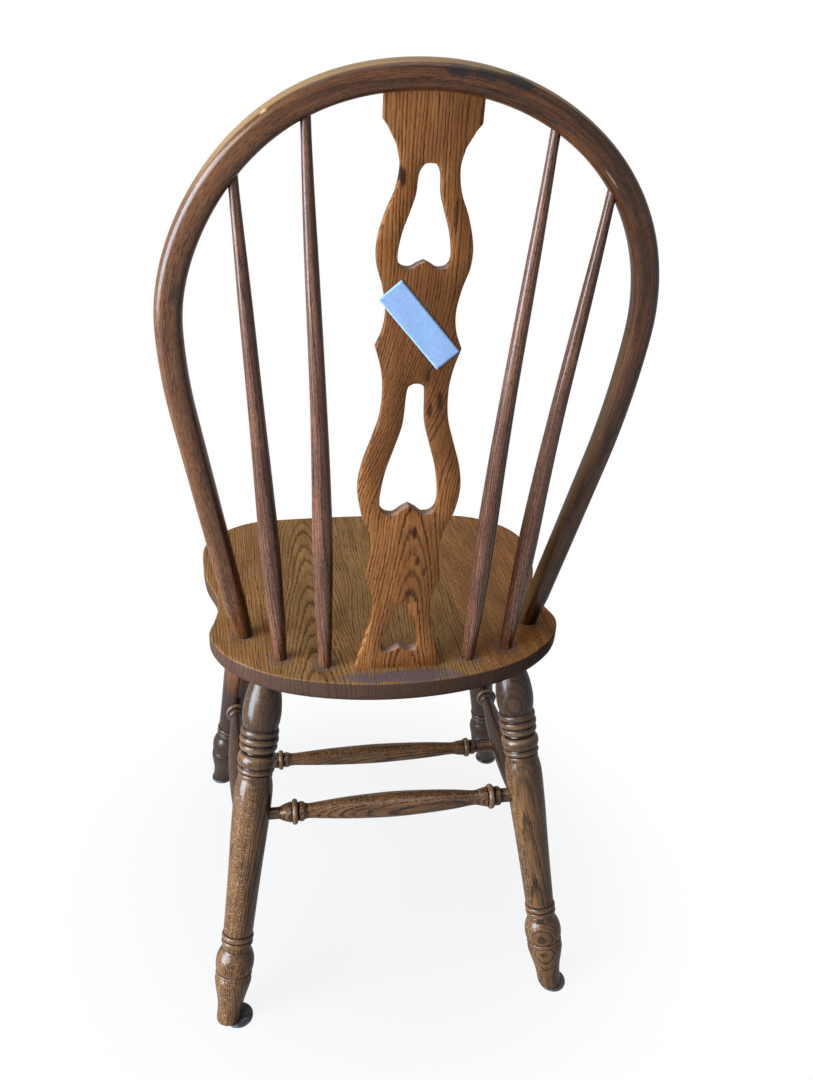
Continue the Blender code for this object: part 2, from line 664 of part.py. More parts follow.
def stretcher_profile(length, first_ring, last_ring, tip, scale=1.0):
    """A swelling rod with a flare, a ring and a small bead at each end, all turned the same way round."""
    start, end = tenon_radii(scale)
    ring = STRETCHER_RING_RADIUS * scale
    belly = STRETCHER_BELLY_RADIUS * scale
    neck = end + 0.0003
    far = length - last_ring
    middle = (first_ring + far) / 2
    reach = (far - first_ring) / 2
    profile = [(tip, start - 0.0008), (tip + 0.001, start), (first_ring - 0.0185, start)]
    profile += [(first_ring - 0.0120, start + 0.0030), (first_ring - 0.0045, 0.80 * ring)]
    profile += bead(first_ring - 0.0036, 0.0072, 0.74 * ring, ring, 3)
    profile += bead(first_ring + 0.0042, 0.0070, 0.68 * ring, 0.77 * ring, 2)
    profile += [(first_ring + 0.0190, neck)]
    for share in (0.62, 0.36, 0.0, -0.36, -0.62):
        swell = math.cos(share * math.pi / 2) ** 1.5
        profile.append((middle - share * reach, neck + (belly - neck) * swell))
    profile += [(far - 0.0220, neck), (far - 0.0130, neck + 0.0014), (far - 0.0050, 0.80 * ring)]
    profile += bead(far - 0.0040, 0.0080, 0.74 * ring, ring, 3)
    profile += bead(far + 0.0046, 0.0075, 0.68 * ring, 0.77 * ring, 2)
    profile += [(far + 0.0135, end), (length - tip - 0.001, end), (length - tip, end - 0.0008)]
    return profile


def make_stretcher(name, axis, kind, tip, finish, scale=1.0):
    start, end = axis
    profile = stretcher_profile((end - start).length, *STRETCHER_RINGS[kind], tip, scale)
    stretcher = object_from(name, lathe(profile, LATHE_SIDES["stretcher"]), finish)
    aim(stretcher, start, end)
    return stretcher


def make_stretchers(finish):
    middle_start, middle_end = middle_stretcher_axis()
    for (hand, side), radius in zip(SIDES.items(), tenon_radii(MIDDLE_STRETCHER_SCALE)):
        name = "side_stretcher_" + hand
        piece = make_stretcher(name, side_stretcher_axis(side), "side", TENON_TIP_IN_LEG, finish)
        here, there = (middle_start, middle_end) if side > 0 else (middle_end, middle_start)
        along = (there - here).normalized()
        tip = here + along * TENON_TIP_IN_STRETCHER
        outside = here + along * 2 * STRETCHER_BELLY_RADIUS
        cut(piece, [drilled("middle_mortise_" + hand, tip, outside, radius)])
    make_stretcher("rear_stretcher", rear_stretcher_axis(), "rear", TENON_TIP_IN_LEG, finish)
    make_stretcher(
        "middle_stretcher", (middle_start, middle_end), "middle", TENON_TIP_IN_STRETCHER,
        finish, MIDDLE_STRETCHER_SCALE,
    )


# Foot pads

def make_pad(row, hand, finish):
    """A thin round pad that lies flat on the floor under its foot."""
    x, y = LEG_FEET[row]
    shift = {
        ("rear", "left"): PAD_SHIFT_REAR_LEFT,
        ("rear", "right"): PAD_SHIFT_REAR_RIGHT,
    }.get((row, hand), (0.0, 0.0))
    profile = [
        (0.0, PAD_RADIUS - PAD_EDGE), (PAD_EDGE, PAD_RADIUS),
        (PAD_THICKNESS - PAD_EDGE, PAD_RADIUS), (PAD_THICKNESS, PAD_RADIUS - PAD_EDGE),
    ]
    pad = object_from(f"foot_pad_{row}_{hand}", lathe(profile, LATHE_SIDES["pad"]), finish)
    pad.location = (SIDES[hand] * x + shift[0], y + shift[1], 0)


def main():
    clear_scene()
    seat_oak = material("seat_oak", (0.205, 0.112, 0.045), 0.32)
    bow_oak = material("bow_oak", (0.105, 0.042, 0.022), 0.30)
    splat_oak = material("splat_oak", (0.300, 0.120, 0.036), 0.32)
    turned_oak = material("turned_oak", (0.135, 0.062, 0.028), 0.30)
    pad_rubber = material("pad_rubber", (0.020, 0.021, 0.024), 0.45)
    make_seat(seat_oak)
    make_bow(bow_oak)
    make_splat(splat_oak)
    for name in SPINDLES:
        make_spindle(name, turned_oak)
    for hand in SIDES:
        for row in LEG_TOPS:
            make_leg(row, hand, turned_oak)
            make_pad(row, hand, pad_rubber)
    make_stretchers(turned_oak)


main()
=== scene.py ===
# %% [markdown]
# # A bow-back oak chair, finished in Blender
# The chair is turned, bent and sawn from oak, stained brown and varnished. Its measured solids come
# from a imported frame. This lesson makes the fine shape of every piece around them, and then the
# finish: grain, pores, stain, dust and old varnish. Each cell makes one thing and says why.

# %% Load the measured chair
import functools
import itertools
import math

import bmesh
import bpy
from mathutils import Matrix, Quaternion, Vector


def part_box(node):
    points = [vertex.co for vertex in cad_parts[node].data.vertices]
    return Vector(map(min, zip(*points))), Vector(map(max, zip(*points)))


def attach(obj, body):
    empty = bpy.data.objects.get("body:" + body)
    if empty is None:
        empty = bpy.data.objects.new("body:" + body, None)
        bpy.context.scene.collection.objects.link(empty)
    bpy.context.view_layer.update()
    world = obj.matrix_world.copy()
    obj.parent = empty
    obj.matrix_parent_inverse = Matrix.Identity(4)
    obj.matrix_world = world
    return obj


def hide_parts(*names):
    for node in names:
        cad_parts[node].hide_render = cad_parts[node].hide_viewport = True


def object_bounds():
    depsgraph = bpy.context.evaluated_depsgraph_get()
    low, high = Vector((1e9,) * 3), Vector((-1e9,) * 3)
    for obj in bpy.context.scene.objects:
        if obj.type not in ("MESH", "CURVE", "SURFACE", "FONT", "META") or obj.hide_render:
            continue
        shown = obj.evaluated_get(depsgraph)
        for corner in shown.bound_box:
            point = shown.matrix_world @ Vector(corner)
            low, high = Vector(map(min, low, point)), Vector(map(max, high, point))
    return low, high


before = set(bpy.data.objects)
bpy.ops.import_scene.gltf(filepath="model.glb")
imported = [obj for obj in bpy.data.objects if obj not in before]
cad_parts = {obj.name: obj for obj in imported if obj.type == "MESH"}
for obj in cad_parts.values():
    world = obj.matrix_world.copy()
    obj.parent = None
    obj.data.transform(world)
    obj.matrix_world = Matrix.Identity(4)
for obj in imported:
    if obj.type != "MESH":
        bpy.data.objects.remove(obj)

cad_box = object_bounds()
chair_size = cad_box[1] - cad_box[0]
print("the frame holds", len(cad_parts), "pieces,", [round(side, 4) for side in chair_size])

# %% [markdown]
# ## The camera
# The photograph looks down on the chair from behind, a little to the sitter's left. A place, a point
# to look at, a small roll and a lens are all that a photograph fixes, so they are the only values.

# %% Set up the camera
CAMERA_PLACE = (0.1429, 0.9694, 1.0371)
CAMERA_TARGET = (-0.0294, 0.0, 0.5365)
CAMERA_ROLL = math.radians(2.717)
CAMERA_LENS = 30.02         # millimetres, on a picture 36 mm tall


def in_scene(name, data):
    made = bpy.data.objects.new(name, data)
    bpy.context.scene.collection.objects.link(made)
    return made


def aim(thing, place, target, roll=0.0):
    """Puts a camera or a lamp at its place, looking at its target."""
    thing.location = place
    thing.rotation_mode = "QUATERNION"
    look = (Vector(target) - Vector(place)).to_track_quat("-Z", "Y")
    thing.rotation_quaternion = look @ Quaternion((0, 0, 1), roll)


camera = in_scene("camera", bpy.data.cameras.new("camera"))
camera.data.lens = CAMERA_LENS
aim(camera, CAMERA_PLACE, CAMERA_TARGET, CAMERA_ROLL)
bpy.context.scene.camera = camera
print("camera", round(math.dist(CAMERA_PLACE, CAMERA_TARGET), 3), "m from its target")

# %% [markdown]
# ## Shader maths in plain Python
# Wood is mostly arithmetic: distances from the heart of the tree, divided into rings. A small class
# wraps a socket, so that `radius / ring` adds a Math node. A recipe makes every node in one method,
# so a material reads like the sentence that describes it.

# %% Wrap sockets and nodes


class Wire:
    """A value on its way through a material. Python's operators add Math nodes."""

    def __init__(self, recipe, socket):
        self.recipe = recipe
        self.socket = socket

    def math(self, operation, *values, clamp=False):
        settings = {"operation": operation, "use_clamp": clamp}
        return self.recipe.node("Math", settings, values)

    def __add__(self, other):
        return self.math("ADD", self, other)

    def __mul__(self, other):
        return self.math("MULTIPLY", self, other)

    def __sub__(self, other):
        return self.math("SUBTRACT", self, other)

    def __rsub__(self, other):
        return self.math("SUBTRACT", other, self)

    def __truediv__(self, other):
        return self.math("DIVIDE", self, other)

    def __pow__(self, other):
        return self.math("POWER", self, other)

    __radd__ = __add__
    __rmul__ = __mul__

    def fraction(self):
        return self.math("FRACT", self)

    def held(self):
        """Kept between 0 and 1."""
        return self.math("ADD", self, 0.0, clamp=True)

    def larger(self, other):
        return self.math("MAXIMUM", self, other)

    def between(self, low, high):
        """0 at low, 1 at high, and smooth from one to the other."""
        settings = {"interpolation_type": "SMOOTHSTEP"}
        return self.recipe.node("MapRange", settings, (self, low, high, 0.0, 1.0))


class Recipe:
    """A material or a world that is being made, with one method for every kind of node."""

    def __init__(self, made, shader="Principled BSDF"):
        self.made = made
        made.use_nodes = True
        self.tree = made.node_tree
        self.shader = self.tree.nodes[shader]

    def node(self, kind, settings=None, values=(), output=0):
        """Adds a node, makes its settings, fills or links its inputs and gives one output."""
        made = self.tree.nodes.new("ShaderNode" + kind)
        for setting, value in (settings or {}).items():
            if setting == "stops":
                self.set_stops(made.color_ramp, value)
            else:
                setattr(made, setting, value)
        pairs = values.items() if isinstance(values, dict) else enumerate(values)
        for key, value in pairs:
            self.fill(made.inputs[key], value)
        return Wire(self, made.outputs[output])

    def fill(self, socket, value):
        if isinstance(value, Wire):
            self.tree.links.new(value.socket, socket)
        else:
            socket.default_value = value

    def give(self, values):
        """Fills or links the shader's own sockets."""
        for key, value in values.items():
            self.fill(self.shader.inputs[key], value)

    def set_stops(self, ramp, stops):
        ramp.interpolation = "CONSTANT"
        while len(ramp.elements) < len(stops):
            ramp.elements.new(1.0)
        for element, (place, level) in zip(ramp.elements, stops):
            element.position = place
            element.color = (level, level, level, 1.0)

    def attribute(self, name, output="Vector"):
        return self.node("Attribute", {"attribute_name": name}, output=output)

    def places(self):
        """Where a point is in the chair's own frame."""
        return self.node("TexCoord", output="Object")

    def split(self, vector):
        parts = self.node("SeparateXYZ", {}, (vector,))
        made = parts.socket.node
        return [Wire(self, made.outputs[axis]) for axis in "XYZ"]

    def vector(self, operation, *values, output=0):
        return self.node("VectorMath", {"operation": operation}, values, output)

    def noise(self, place, waves, detail=2.0, curl=0.0):
        """Noise with its own number of waves per unit along each axis of a place."""
        stretched = self.vector("MULTIPLY", place, waves)
        values = {"Vector": stretched, "Scale": 1.0, "Detail": detail, "Distortion": curl}
        return self.node("TexNoise", {}, values)

    def line_noise(self, value):
        settings = {"noise_dimensions": "1D"}
        return self.node("TexNoise", settings, {"W": value, "Scale": 1.0, "Detail": 1.0})

    def blend(self, factor, first, second):
        return self.node("Mix", {"data_type": "RGBA"}, {0: factor, 6: first, 7: second}, output=2)

    def distance(self, where, place, size=(1.0, 1.0, 1.0)):
        """How far a vector is from a place, counted in sizes along each axis."""
        away = self.vector("DIVIDE", self.vector("SUBTRACT", where, place), size)
        return self.vector("LENGTH", away, output="Value")

    def marks(self, where, spots, ragged):
        """The strongest of several marks, each a place, a size and a strength, with a ragged edge."""
        found = []
        for place, size, strength in spots:
            reach = self.distance(where, place, size) + ragged
            found.append((1.0 - reach.between(0.55, 1.0)) * strength)
        return largest(found)


def largest(values):
    return functools.reduce(Wire.larger, values)


def new_material(name):
    return Recipe(bpy.data.materials.new(name))


print("shader helpers ready")

# %% [markdown]
# ## Shapes that every piece uses
# Each point of a piece remembers three things before it is moved into the chair. `blank` is where it
# was in its own straight piece of wood, so that grain runs along a leg, a bent bow or a board.
# `ray_face` is how nearly the surface there lies along the tree's rays, which show as flecks in it.
# `relief` is how far it stands over its neighbours, so that painted shade and stain lie dark in the
# grooves of a turning, and the wood wears pale on its crowns.

# %% Make a piece from a bmesh
METRES_TO_MM = 1000.0
SHARP_ANGLE = math.radians(40)


def colour(red, green, blue):
    return (red, green, blue, 1.0)


def remember(bm, shift, unbend=None):
    """Stores each point's place in its own straight blank, moved by shift, and its ray_face."""
    blank = bm.verts.layers.float_vector.new("blank")
    ray_face = bm.verts.layers.float.new("ray_face")
    for vert in bm.verts:
        straight = unbend(vert.co) if unbend else vert.co
        vert[blank] = straight + Vector(shift)
        vert[ray_face] = abs(straight.x) / max(math.hypot(straight.x, straight.y), 1e-6)


def relief_layer(bm):
    return bm.verts.layers.float.get("relief") or bm.verts.layers.float.new("relief")


def mesh_from(bm, name, material):
    mesh = bpy.data.meshes.new(name)
    bm.to_mesh(mesh)
    bm.free()
    mesh.materials.append(material)
    return mesh


def finished(name, bm, material, node, place=None):
    """Moves the mesh to its place, makes the object and sets it in the frame."""
    relief_layer(bm)
    if place is not None:
        bm.transform(place)
    bmesh.ops.recalc_face_normals(bm, faces=bm.faces)
    if bm.calc_volume(signed=True) < 0 and not any(edge.is_boundary for edge in bm.edges):
        bmesh.ops.reverse_faces(bm, faces=bm.faces)
    mesh = mesh_from(bm, name, material)
    mesh.shade_smooth()
    mesh.set_sharp_from_angle(angle=SHARP_ANGLE)
    piece = in_scene(name, mesh)
    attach(piece, "root")
    if node:
        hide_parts(node)
        low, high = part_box(node)
        made_low = Vector(min(vert.co[axis] for vert in mesh.vertices) for axis in range(3))
        made_high = Vector(max(vert.co[axis] for vert in mesh.vertices) for axis in range(3))
        off = max((made_low - low).length, (made_high - high).length)
        print(f"{name}: {len(mesh.polygons)} faces, corners {off * METRES_TO_MM:.1f} mm from the frame's")
    return piece


def only(parts, kind):
    return [part for part in parts if isinstance(part, kind)]


def ease(bm, edges, width, segments):
    """Rounds edges off with a bevel."""
    bmesh.ops.bevel(
        bm, geom=edges, offset=width, offset_type="OFFSET", segments=segments, profile=0.5,
        affect="EDGES", material=-1,
    )


def smooth_line(knots, steps):
    """Points on a smooth curve through the knots, with free ends."""
    ends = [Vector(knots[0]) * 2 - Vector(knots[1]), Vector(knots[-1]) * 2 - Vector(knots[-2])]
    around = [ends[0], *map(Vector, knots), ends[1]]
    line = []
    for before, start, end, after in zip(around, around[1:], around[2:], around[3:]):
        straight = end - before
        curve = 2 * before - 5 * start + 4 * end - after
        twist = 3 * start - before - 3 * end + after
        for step in range(steps):
            t = step / steps
            line.append(0.5 * (2 * start + straight * t + curve * t**2 + twist * t**3))
    return line + [Vector(knots[-1])]


def rounded(knots, steps):
    """The same for a turned profile, as (place, radius) pairs."""
    return [tuple(point) for point in smooth_line(knots, steps)]


def line_up(start, end):
    """The matrix that puts a piece standing on its own +Z onto the line from start to end."""
    turn = (end - start).to_track_quat("Z", "Y").to_matrix().to_4x4()
    return Matrix.Translation(start) @ turn


print("mesh helpers ready")

# %% [markdown]
# ## Oak under stain and varnish
# Oak shows its years as bands of open pores. A board is cut from a tree, so the pattern is made as
# the tree makes it: cylinders round a heart outside the board, swaying and tapering as they rise.
# Where the saw or the lathe crosses them, the bands become lines, arches and ovals without being
# drawn. Each year begins with a sharp row of pores and fades, and every year differs a little.
# Rays run out from the heart, and show as pale curled flecks where the surface lies along them.

# %% Grow the oak
RAY_FLECK = colour(0.340, 0.185, 0.090)


def in_mm(mix, vector):
    return mix.vector("MULTIPLY", vector, (METRES_TO_MM, METRES_TO_MM, METRES_TO_MM))


def drawn_out(mix, place, across, along):
    """Noise in long fibres; across and along are its waves in each millimetre."""
    return mix.noise(place, (across, across, along))


def years(mix, radius, ring):
    """The dark early wood of each year, at a distance in mm from the tree's heart."""
    count = radius / ring
    count = count + (mix.line_noise(count * 0.31) - 0.5) * 0.9
    share = count.fraction()
    early = (1.0 - share.between(0.10, 0.50)).larger(share.between(0.93, 1.0))
    strength = mix.line_noise(count * 0.7 + 17.0).between(0.34, 0.58)
    return early * (0.40 + 0.60 * strength)


def oak(place, radius, colours, ring, contrast, speckle, flakes=0.0):
    """Fills a recipe with wood; place is in mm with the grain along its third number.

    The colours are pale, body and dark. Contrast is how dark the years are, speckle is how dark
    the short dashes between them are, and flakes is how plain the rays' flecks are.
    """
    mix = place.recipe
    pale, body, dark = colours
    ragged = drawn_out(mix, place, 0.80, 0.065)
    line = years(mix, radius + (ragged - 0.5) * ring * 0.70, ring)
    mix.pores = drawn_out(mix, place, 2.2, 0.13).between(0.40, 0.57)
    mix.grain = line * (0.50 + 0.50 * mix.pores)
    fibre = drawn_out(mix, place, 0.9, 0.018).between(0.38, 0.62)
    dash = drawn_out(mix, place, 1.9, 0.22).between(0.57, 0.64)
    cloud = mix.noise(place, (0.045, 0.045, 0.012), detail=3.0).between(0.35, 0.65)
    wood = mix.blend(fibre * 0.55 + cloud * 0.45, body, pale)
    wood = mix.blend((mix.grain * contrast).held(), wood, dark)
    mix.wood = mix.blend((dash * speckle).held(), wood, dark)
    if flakes:
        flake = mix.noise(place, (0.15, 0.15, 0.40), detail=1.0, curl=1.8)
        flake = flake.between(0.56, 0.60) * (1.0 - flake.between(0.60, 0.65))
        seen = mix.attribute("ray_face", "Fac").between(0.45, 0.85)
        mix.wood = mix.blend(flake * seen * flakes, mix.wood, RAY_FLECK)
    return mix


def sawn(name, heart, colours, ring, taper, sway, **look):
    """Oak for a blank whose heart is at heart, in mm across and behind it."""
    mix = new_material(name)
    place = in_mm(mix, mix.attribute("blank"))
    across, behind, along = mix.split(place)
    slow = mix.noise(place, (0.018, 0.018, 0.0055), detail=1.0)
    x = across - heart[0] + (slow - 0.5) * sway
    y = behind - heart[1]
    radius = (x * x + y * y) ** 0.5 + along * taper
    return oak(place, radius, colours, ring, **look)


print("a tree's rings, pores and rays are ready")

# %% [markdown]
# ## Stain and varnish
# Shade is painted high up under the seat, and brown stain with painted shade lies dark in the
# grooves of a turning; the stain wears pale on the crowns. A gloss coat lies over it. The coat alone
# shines, and its index is higher than a varnish has, so that a window shows in it while the sides of
# a leg stay dark.

# %% Stain and varnish the oak
SEAT_UNDERSIDE_AT = (0.428, 0.432)      # heights between which the seat's own wood begins
# the colour of the painted shade under the seat
UNDER_SEAT_PAINTED_SHADE = colour(0.020, 0.011, 0.008)
# the colour of the painted shade and stain in the grooves
GROOVE_SHADE_AND_STAIN = colour(0.006, 0.004, 0.003)
CROWN_WEAR = colour(0.340, 0.190, 0.095)
COAT_INDEX = 1.7
COAT_ROUGHNESS = 0.24
PORE_DEPTH = 0.0004


def varnish(mix, gloss, roughness=0.36, shade=0.66):
    """Stains and wears the wood, paints shade under the seat and in grooves, then coats; shade is how
    dark it is there.
    """
    relief = mix.attribute("relief", "Fac")
    _, _, high = mix.split(mix.places())
    # painted shade: darker high up on the legs, just below the seat's own wood
    under_seat_painted_shade = high.between(0.25, 0.36) * (1.0 - high.between(*SEAT_UNDERSIDE_AT))
    # painted shade, with the stain that gathers there, dark in the grooves of a turning
    groove_shade_and_stain = (0.0 - relief).between(0.04, 0.7)
    crown = relief.between(0.1, 1.0)
    wood = mix.blend(under_seat_painted_shade * shade, mix.wood, UNDER_SEAT_PAINTED_SHADE)
    wood = mix.blend(groove_shade_and_stain * 0.88, wood, GROOVE_SHADE_AND_STAIN)
    wood = mix.blend(crown * 0.22, wood, CROWN_WEAR)
    worn = mix.noise(mix.places(), (38.0, 38.0, 26.0), detail=4.0)
    height = 1.0 - mix.grain * 0.8
    mix.give({
        "Base Color": wood,
        "Roughness": roughness + (worn - 0.5) * 0.22 + mix.grain * 0.15,
        "Specular IOR Level": 0.0,
        "Coat Weight": (gloss + (worn - 0.5) * 0.16 - mix.grain * 0.05).held(),
        "Coat Roughness": COAT_ROUGHNESS,
        "Coat IOR": COAT_INDEX,
        "Normal": mix.node("Bump", {}, {"Strength": 0.35, "Distance": PORE_DEPTH, "Height": height}),
    })
    return mix.made


print("a coat of index", COAT_INDEX, "over stained wood")

# %% [markdown]
# ## Three turned woods
# The rear legs and two stretchers are golden brown with years close together. The front legs and
# the side stretchers are orange above, and nearly black lower down, where shade is painted. The
# spindles are redder, and are cut further from the heart, so their years run straight.

# %% Mix the turned woods
NEAR_HEART = (4.0, -30.0)
FAR_HEART = (30.0, -26.0)
CLOSE_YEARS = {"ring": 2.1, "taper": 0.055, "sway": 12.0}
STRAIGHT_YEARS = {"ring": 2.4, "taper": 0.02, "sway": 10.0}
GOLDEN = (colour(0.168, 0.076, 0.026), colour(0.048, 0.020, 0.009), colour(0.005, 0.003, 0.002))
ORANGE = (colour(0.270, 0.100, 0.028), colour(0.120, 0.040, 0.012), colour(0.014, 0.005, 0.003))
REDDER = (colour(0.185, 0.078, 0.042), colour(0.064, 0.024, 0.014), colour(0.010, 0.004, 0.003))
FOOT_PAINTED_SHADE = colour(0.018, 0.011, 0.009)
FOOT_SHADE_FADES = (0.17, 0.29)          # heights where the painted shade begins to fade and is gone


def golden_oak():
    look = {"contrast": 1.15, "speckle": 0.60, "flakes": 0.80}
    mix = sawn("golden oak", NEAR_HEART, GOLDEN, **CLOSE_YEARS, **look)
    return varnish(mix, gloss=0.36)


def footed_oak():
    look = {"contrast": 0.85, "speckle": 0.50, "flakes": 0.30}
    mix = sawn("dark-footed oak", NEAR_HEART, ORANGE, **CLOSE_YEARS, **look)
    _, _, high = mix.split(mix.places())
    # painted shade low on the front legs and side stretchers, darkest at the feet
    low = 1.0 - high.between(*FOOT_SHADE_FADES)
    mix.wood = mix.blend(low * 0.94, mix.wood, FOOT_PAINTED_SHADE)
    return varnish(mix, gloss=0.34, shade=0.0)


def shaved_oak():
    look = {"contrast": 0.95, "speckle": 0.95}
    mix = sawn("shaved oak", FAR_HEART, REDDER, **STRAIGHT_YEARS, **look)
    return varnish(mix, gloss=0.38)


GOLDEN_OAK = golden_oak()
FOOTED_OAK = footed_oak()
SHAVED_OAK = shaved_oak()
print("golden oak has", len(GOLDEN_OAK.node_tree.nodes), "nodes")

# %% [markdown]
# ## The seat board
# The seat is a shield of oak boards glued edge to edge, thick enough for blind sockets, undercut
# all round and scooped a little for the sitter. The outline is extruded down, its lower edge takes
# a deep bevel, and the top face is inset again and again, each ring sinking on one smooth curve.

# %% Shape the seat
SEAT_TOP = 0.4538
SEAT_THICKNESS = 0.028
SEAT_MIDDLE = Vector((0.0, -0.032, 0.0))
SEAT_FRONT = 0.2445
SEAT_REAR = 0.1795
SEAT_FRONT_CORNER = (0.2255, -0.132)
SEAT_WAIST = (0.2015, 0.004)
SEAT_REAR_CORNER = (0.2100, 0.060)
SEAT_UNDERCUT = 0.014
SEAT_TOP_ROUND = 0.002
DISH_DEPTH = 0.006
DISH_RIM = 0.84             # share of the outline where the scoop begins
DISH_FLOOR = 0.26           # share where it is level again
DISH_RINGS = 30
FIRST_RING = 0.97           # share of the outline that the outermost ring has
SEAT_UNDERSIDE = SEAT_TOP - SEAT_THICKNESS


def shield_outline(steps):
    corner_x, corner_y = SEAT_FRONT_CORNER
    waist_x, waist_y = SEAT_WAIST
    rear_x, rear_y = SEAT_REAR_CORNER
    half = [
        (0.0, -SEAT_FRONT),
        (0.47 * corner_x, -SEAT_FRONT + 0.004),
        (0.72 * corner_x, -SEAT_FRONT + 0.013),
        (0.90 * corner_x, -SEAT_FRONT + 0.042),
        (corner_x - 0.003, corner_y - 0.036),
        (corner_x, corner_y),
        (corner_x - 0.0065, corner_y + 0.062),
        (waist_x + 0.004, waist_y - 0.030),
        (waist_x, waist_y),
        (waist_x + 0.003, waist_y + 0.027),
        (rear_x, rear_y),
        (rear_x - 0.0065, rear_y + 0.026),
        (0.885 * rear_x, SEAT_REAR - 0.066),
        (0.715 * rear_x, SEAT_REAR - 0.036),
        (0.515 * rear_x, SEAT_REAR - 0.0165),
        (0.26 * rear_x, SEAT_REAR - 0.004),
        (0.0, SEAT_REAR),
    ]
    other = [(-x, y) for x, y in reversed(half[1:-1])]
    loop = half + other + [half[0]]
    return smooth_line([loop[-2], *loop, loop[1]], steps)[steps:-steps - 1]


def seat_mesh():
    bm = bmesh.new()
    rim = [bm.verts.new((point.x, point.y, SEAT_TOP)) for point in shield_outline(6)]
    top = bm.faces.new(rim)
    under = bmesh.ops.extrude_face_region(bm, geom=[top], use_keep_orig=True)["geom"]
    lowered = only(under, bmesh.types.BMVert)
    bmesh.ops.translate(bm, verts=lowered, vec=(0, 0, -SEAT_THICKNESS))
    bmesh.ops.recalc_face_normals(bm, faces=bm.faces)
    lower = [edge for edge in bm.edges if all(vert.co.z < SEAT_TOP - 0.001 for vert in edge.verts)]
    ease(bm, lower, SEAT_UNDERCUT, 8)
    top = max(bm.faces, key=lambda face: face.calc_center_median().z)
    ease(bm, list(top.edges), SEAT_TOP_ROUND, 5)
    level = [face for face in bm.faces if face.calc_center_median().z > SEAT_TOP - 1e-5]
    top = max(level, key=lambda face: face.calc_area())
    size = 1.0
    for ring in range(DISH_RINGS):
        share = FIRST_RING * (1 - ring / DISH_RINGS)
        bmesh.ops.inset_region(bm, faces=[top], thickness=0.0004, use_even_offset=True)
        shrink = Vector((share / size, share / size, 1))
        bmesh.ops.scale(bm, verts=top.verts, vec=shrink, space=Matrix.Translation(-SEAT_MIDDLE))
        sunk = min(max((DISH_RIM - share) / (DISH_RIM - DISH_FLOOR), 0.0), 1.0)
        for vert in top.verts:
            vert.co.z = SEAT_TOP - DISH_DEPTH * (3 * sunk**2 - 2 * sunk**3)
        size = share
    return bm


print("seat outline:", len(shield_outline(6)), "points")

# %% [markdown]
# ## The seat's finish
# Its boards run from front to back, and each came from another plank, so the pattern jumps at every
# glue line. A constant ramp on the place across the seat gives each board its own level, which
# moves the tree's heart and shifts the tint. Years of dusting stopped short of the spindles, so a
# dull lavender film of dust and painted sheen lies along the rear rim, and each foot has a pale
# ring of old glue and wax, with the same painted sheen.
# The sides have painted shade: they are darker and plainer than the top, and the surface's normal
# tells one from the other.

# %% Finish the seat
# Each board: where it begins across the seat, its heart in mm, its slant and how orange it is
BOARDS = (
    (-0.250, -290.0, 0.05, 0.95), (-0.165, -40.0, 0.38, 0.70), (-0.095, -250.0, 0.02, 0.25),
    (0.042, 86.0, 0.10, 0.35), (0.129, 320.0, 0.04, 0.60),
)
RAMP_HALF = 0.25            # half of the stretch that the ramps cover, across the seat
OLIVE_BODY = colour(0.140, 0.080, 0.029)
ORANGE_BODY = colour(0.174, 0.067, 0.023)
OLIVE_PALE = colour(0.270, 0.155, 0.057)
ORANGE_PALE = colour(0.335, 0.142, 0.046)
SEAT_DARK = colour(0.032, 0.014, 0.006)
HEART_DEPTH = 22.0          # how far in mm the hearts lie under the seat
SEAT_SIDE_PAINTED_SHADE = colour(0.042, 0.023, 0.020)
DUST_AND_SHEEN = colour(0.118, 0.080, 0.081)
LINT = colour(0.42, 0.34, 0.28)


def by_board(mix, wide, column, low, high):
    """A value that jumps from board to board, between low and high."""
    stops = []
    for board in BOARDS:
        begins = (board[0] + RAMP_HALF) / (2 * RAMP_HALF)
        stops.append((begins, (board[column] - low) / (high - low)))
    level = mix.node("ValToRGB", {"stops": stops}, ((wide + RAMP_HALF) / (2 * RAMP_HALF),))
    return mix.split(level)[0] * (high - low) + low


FEET_ON_SEAT = (
    (0.1705, 0.0660), (-0.1720, 0.0660), (0.1290, 0.1185), (0.0802, 0.1370), (-0.0820, 0.1370),
    (-0.1315, 0.1185),
)
DUST_AND_SHEEN_PLACE = (0.0, 0.167, SEAT_TOP)
DUST_AND_SHEEN_REACH = (0.090, 0.015, 0.010)


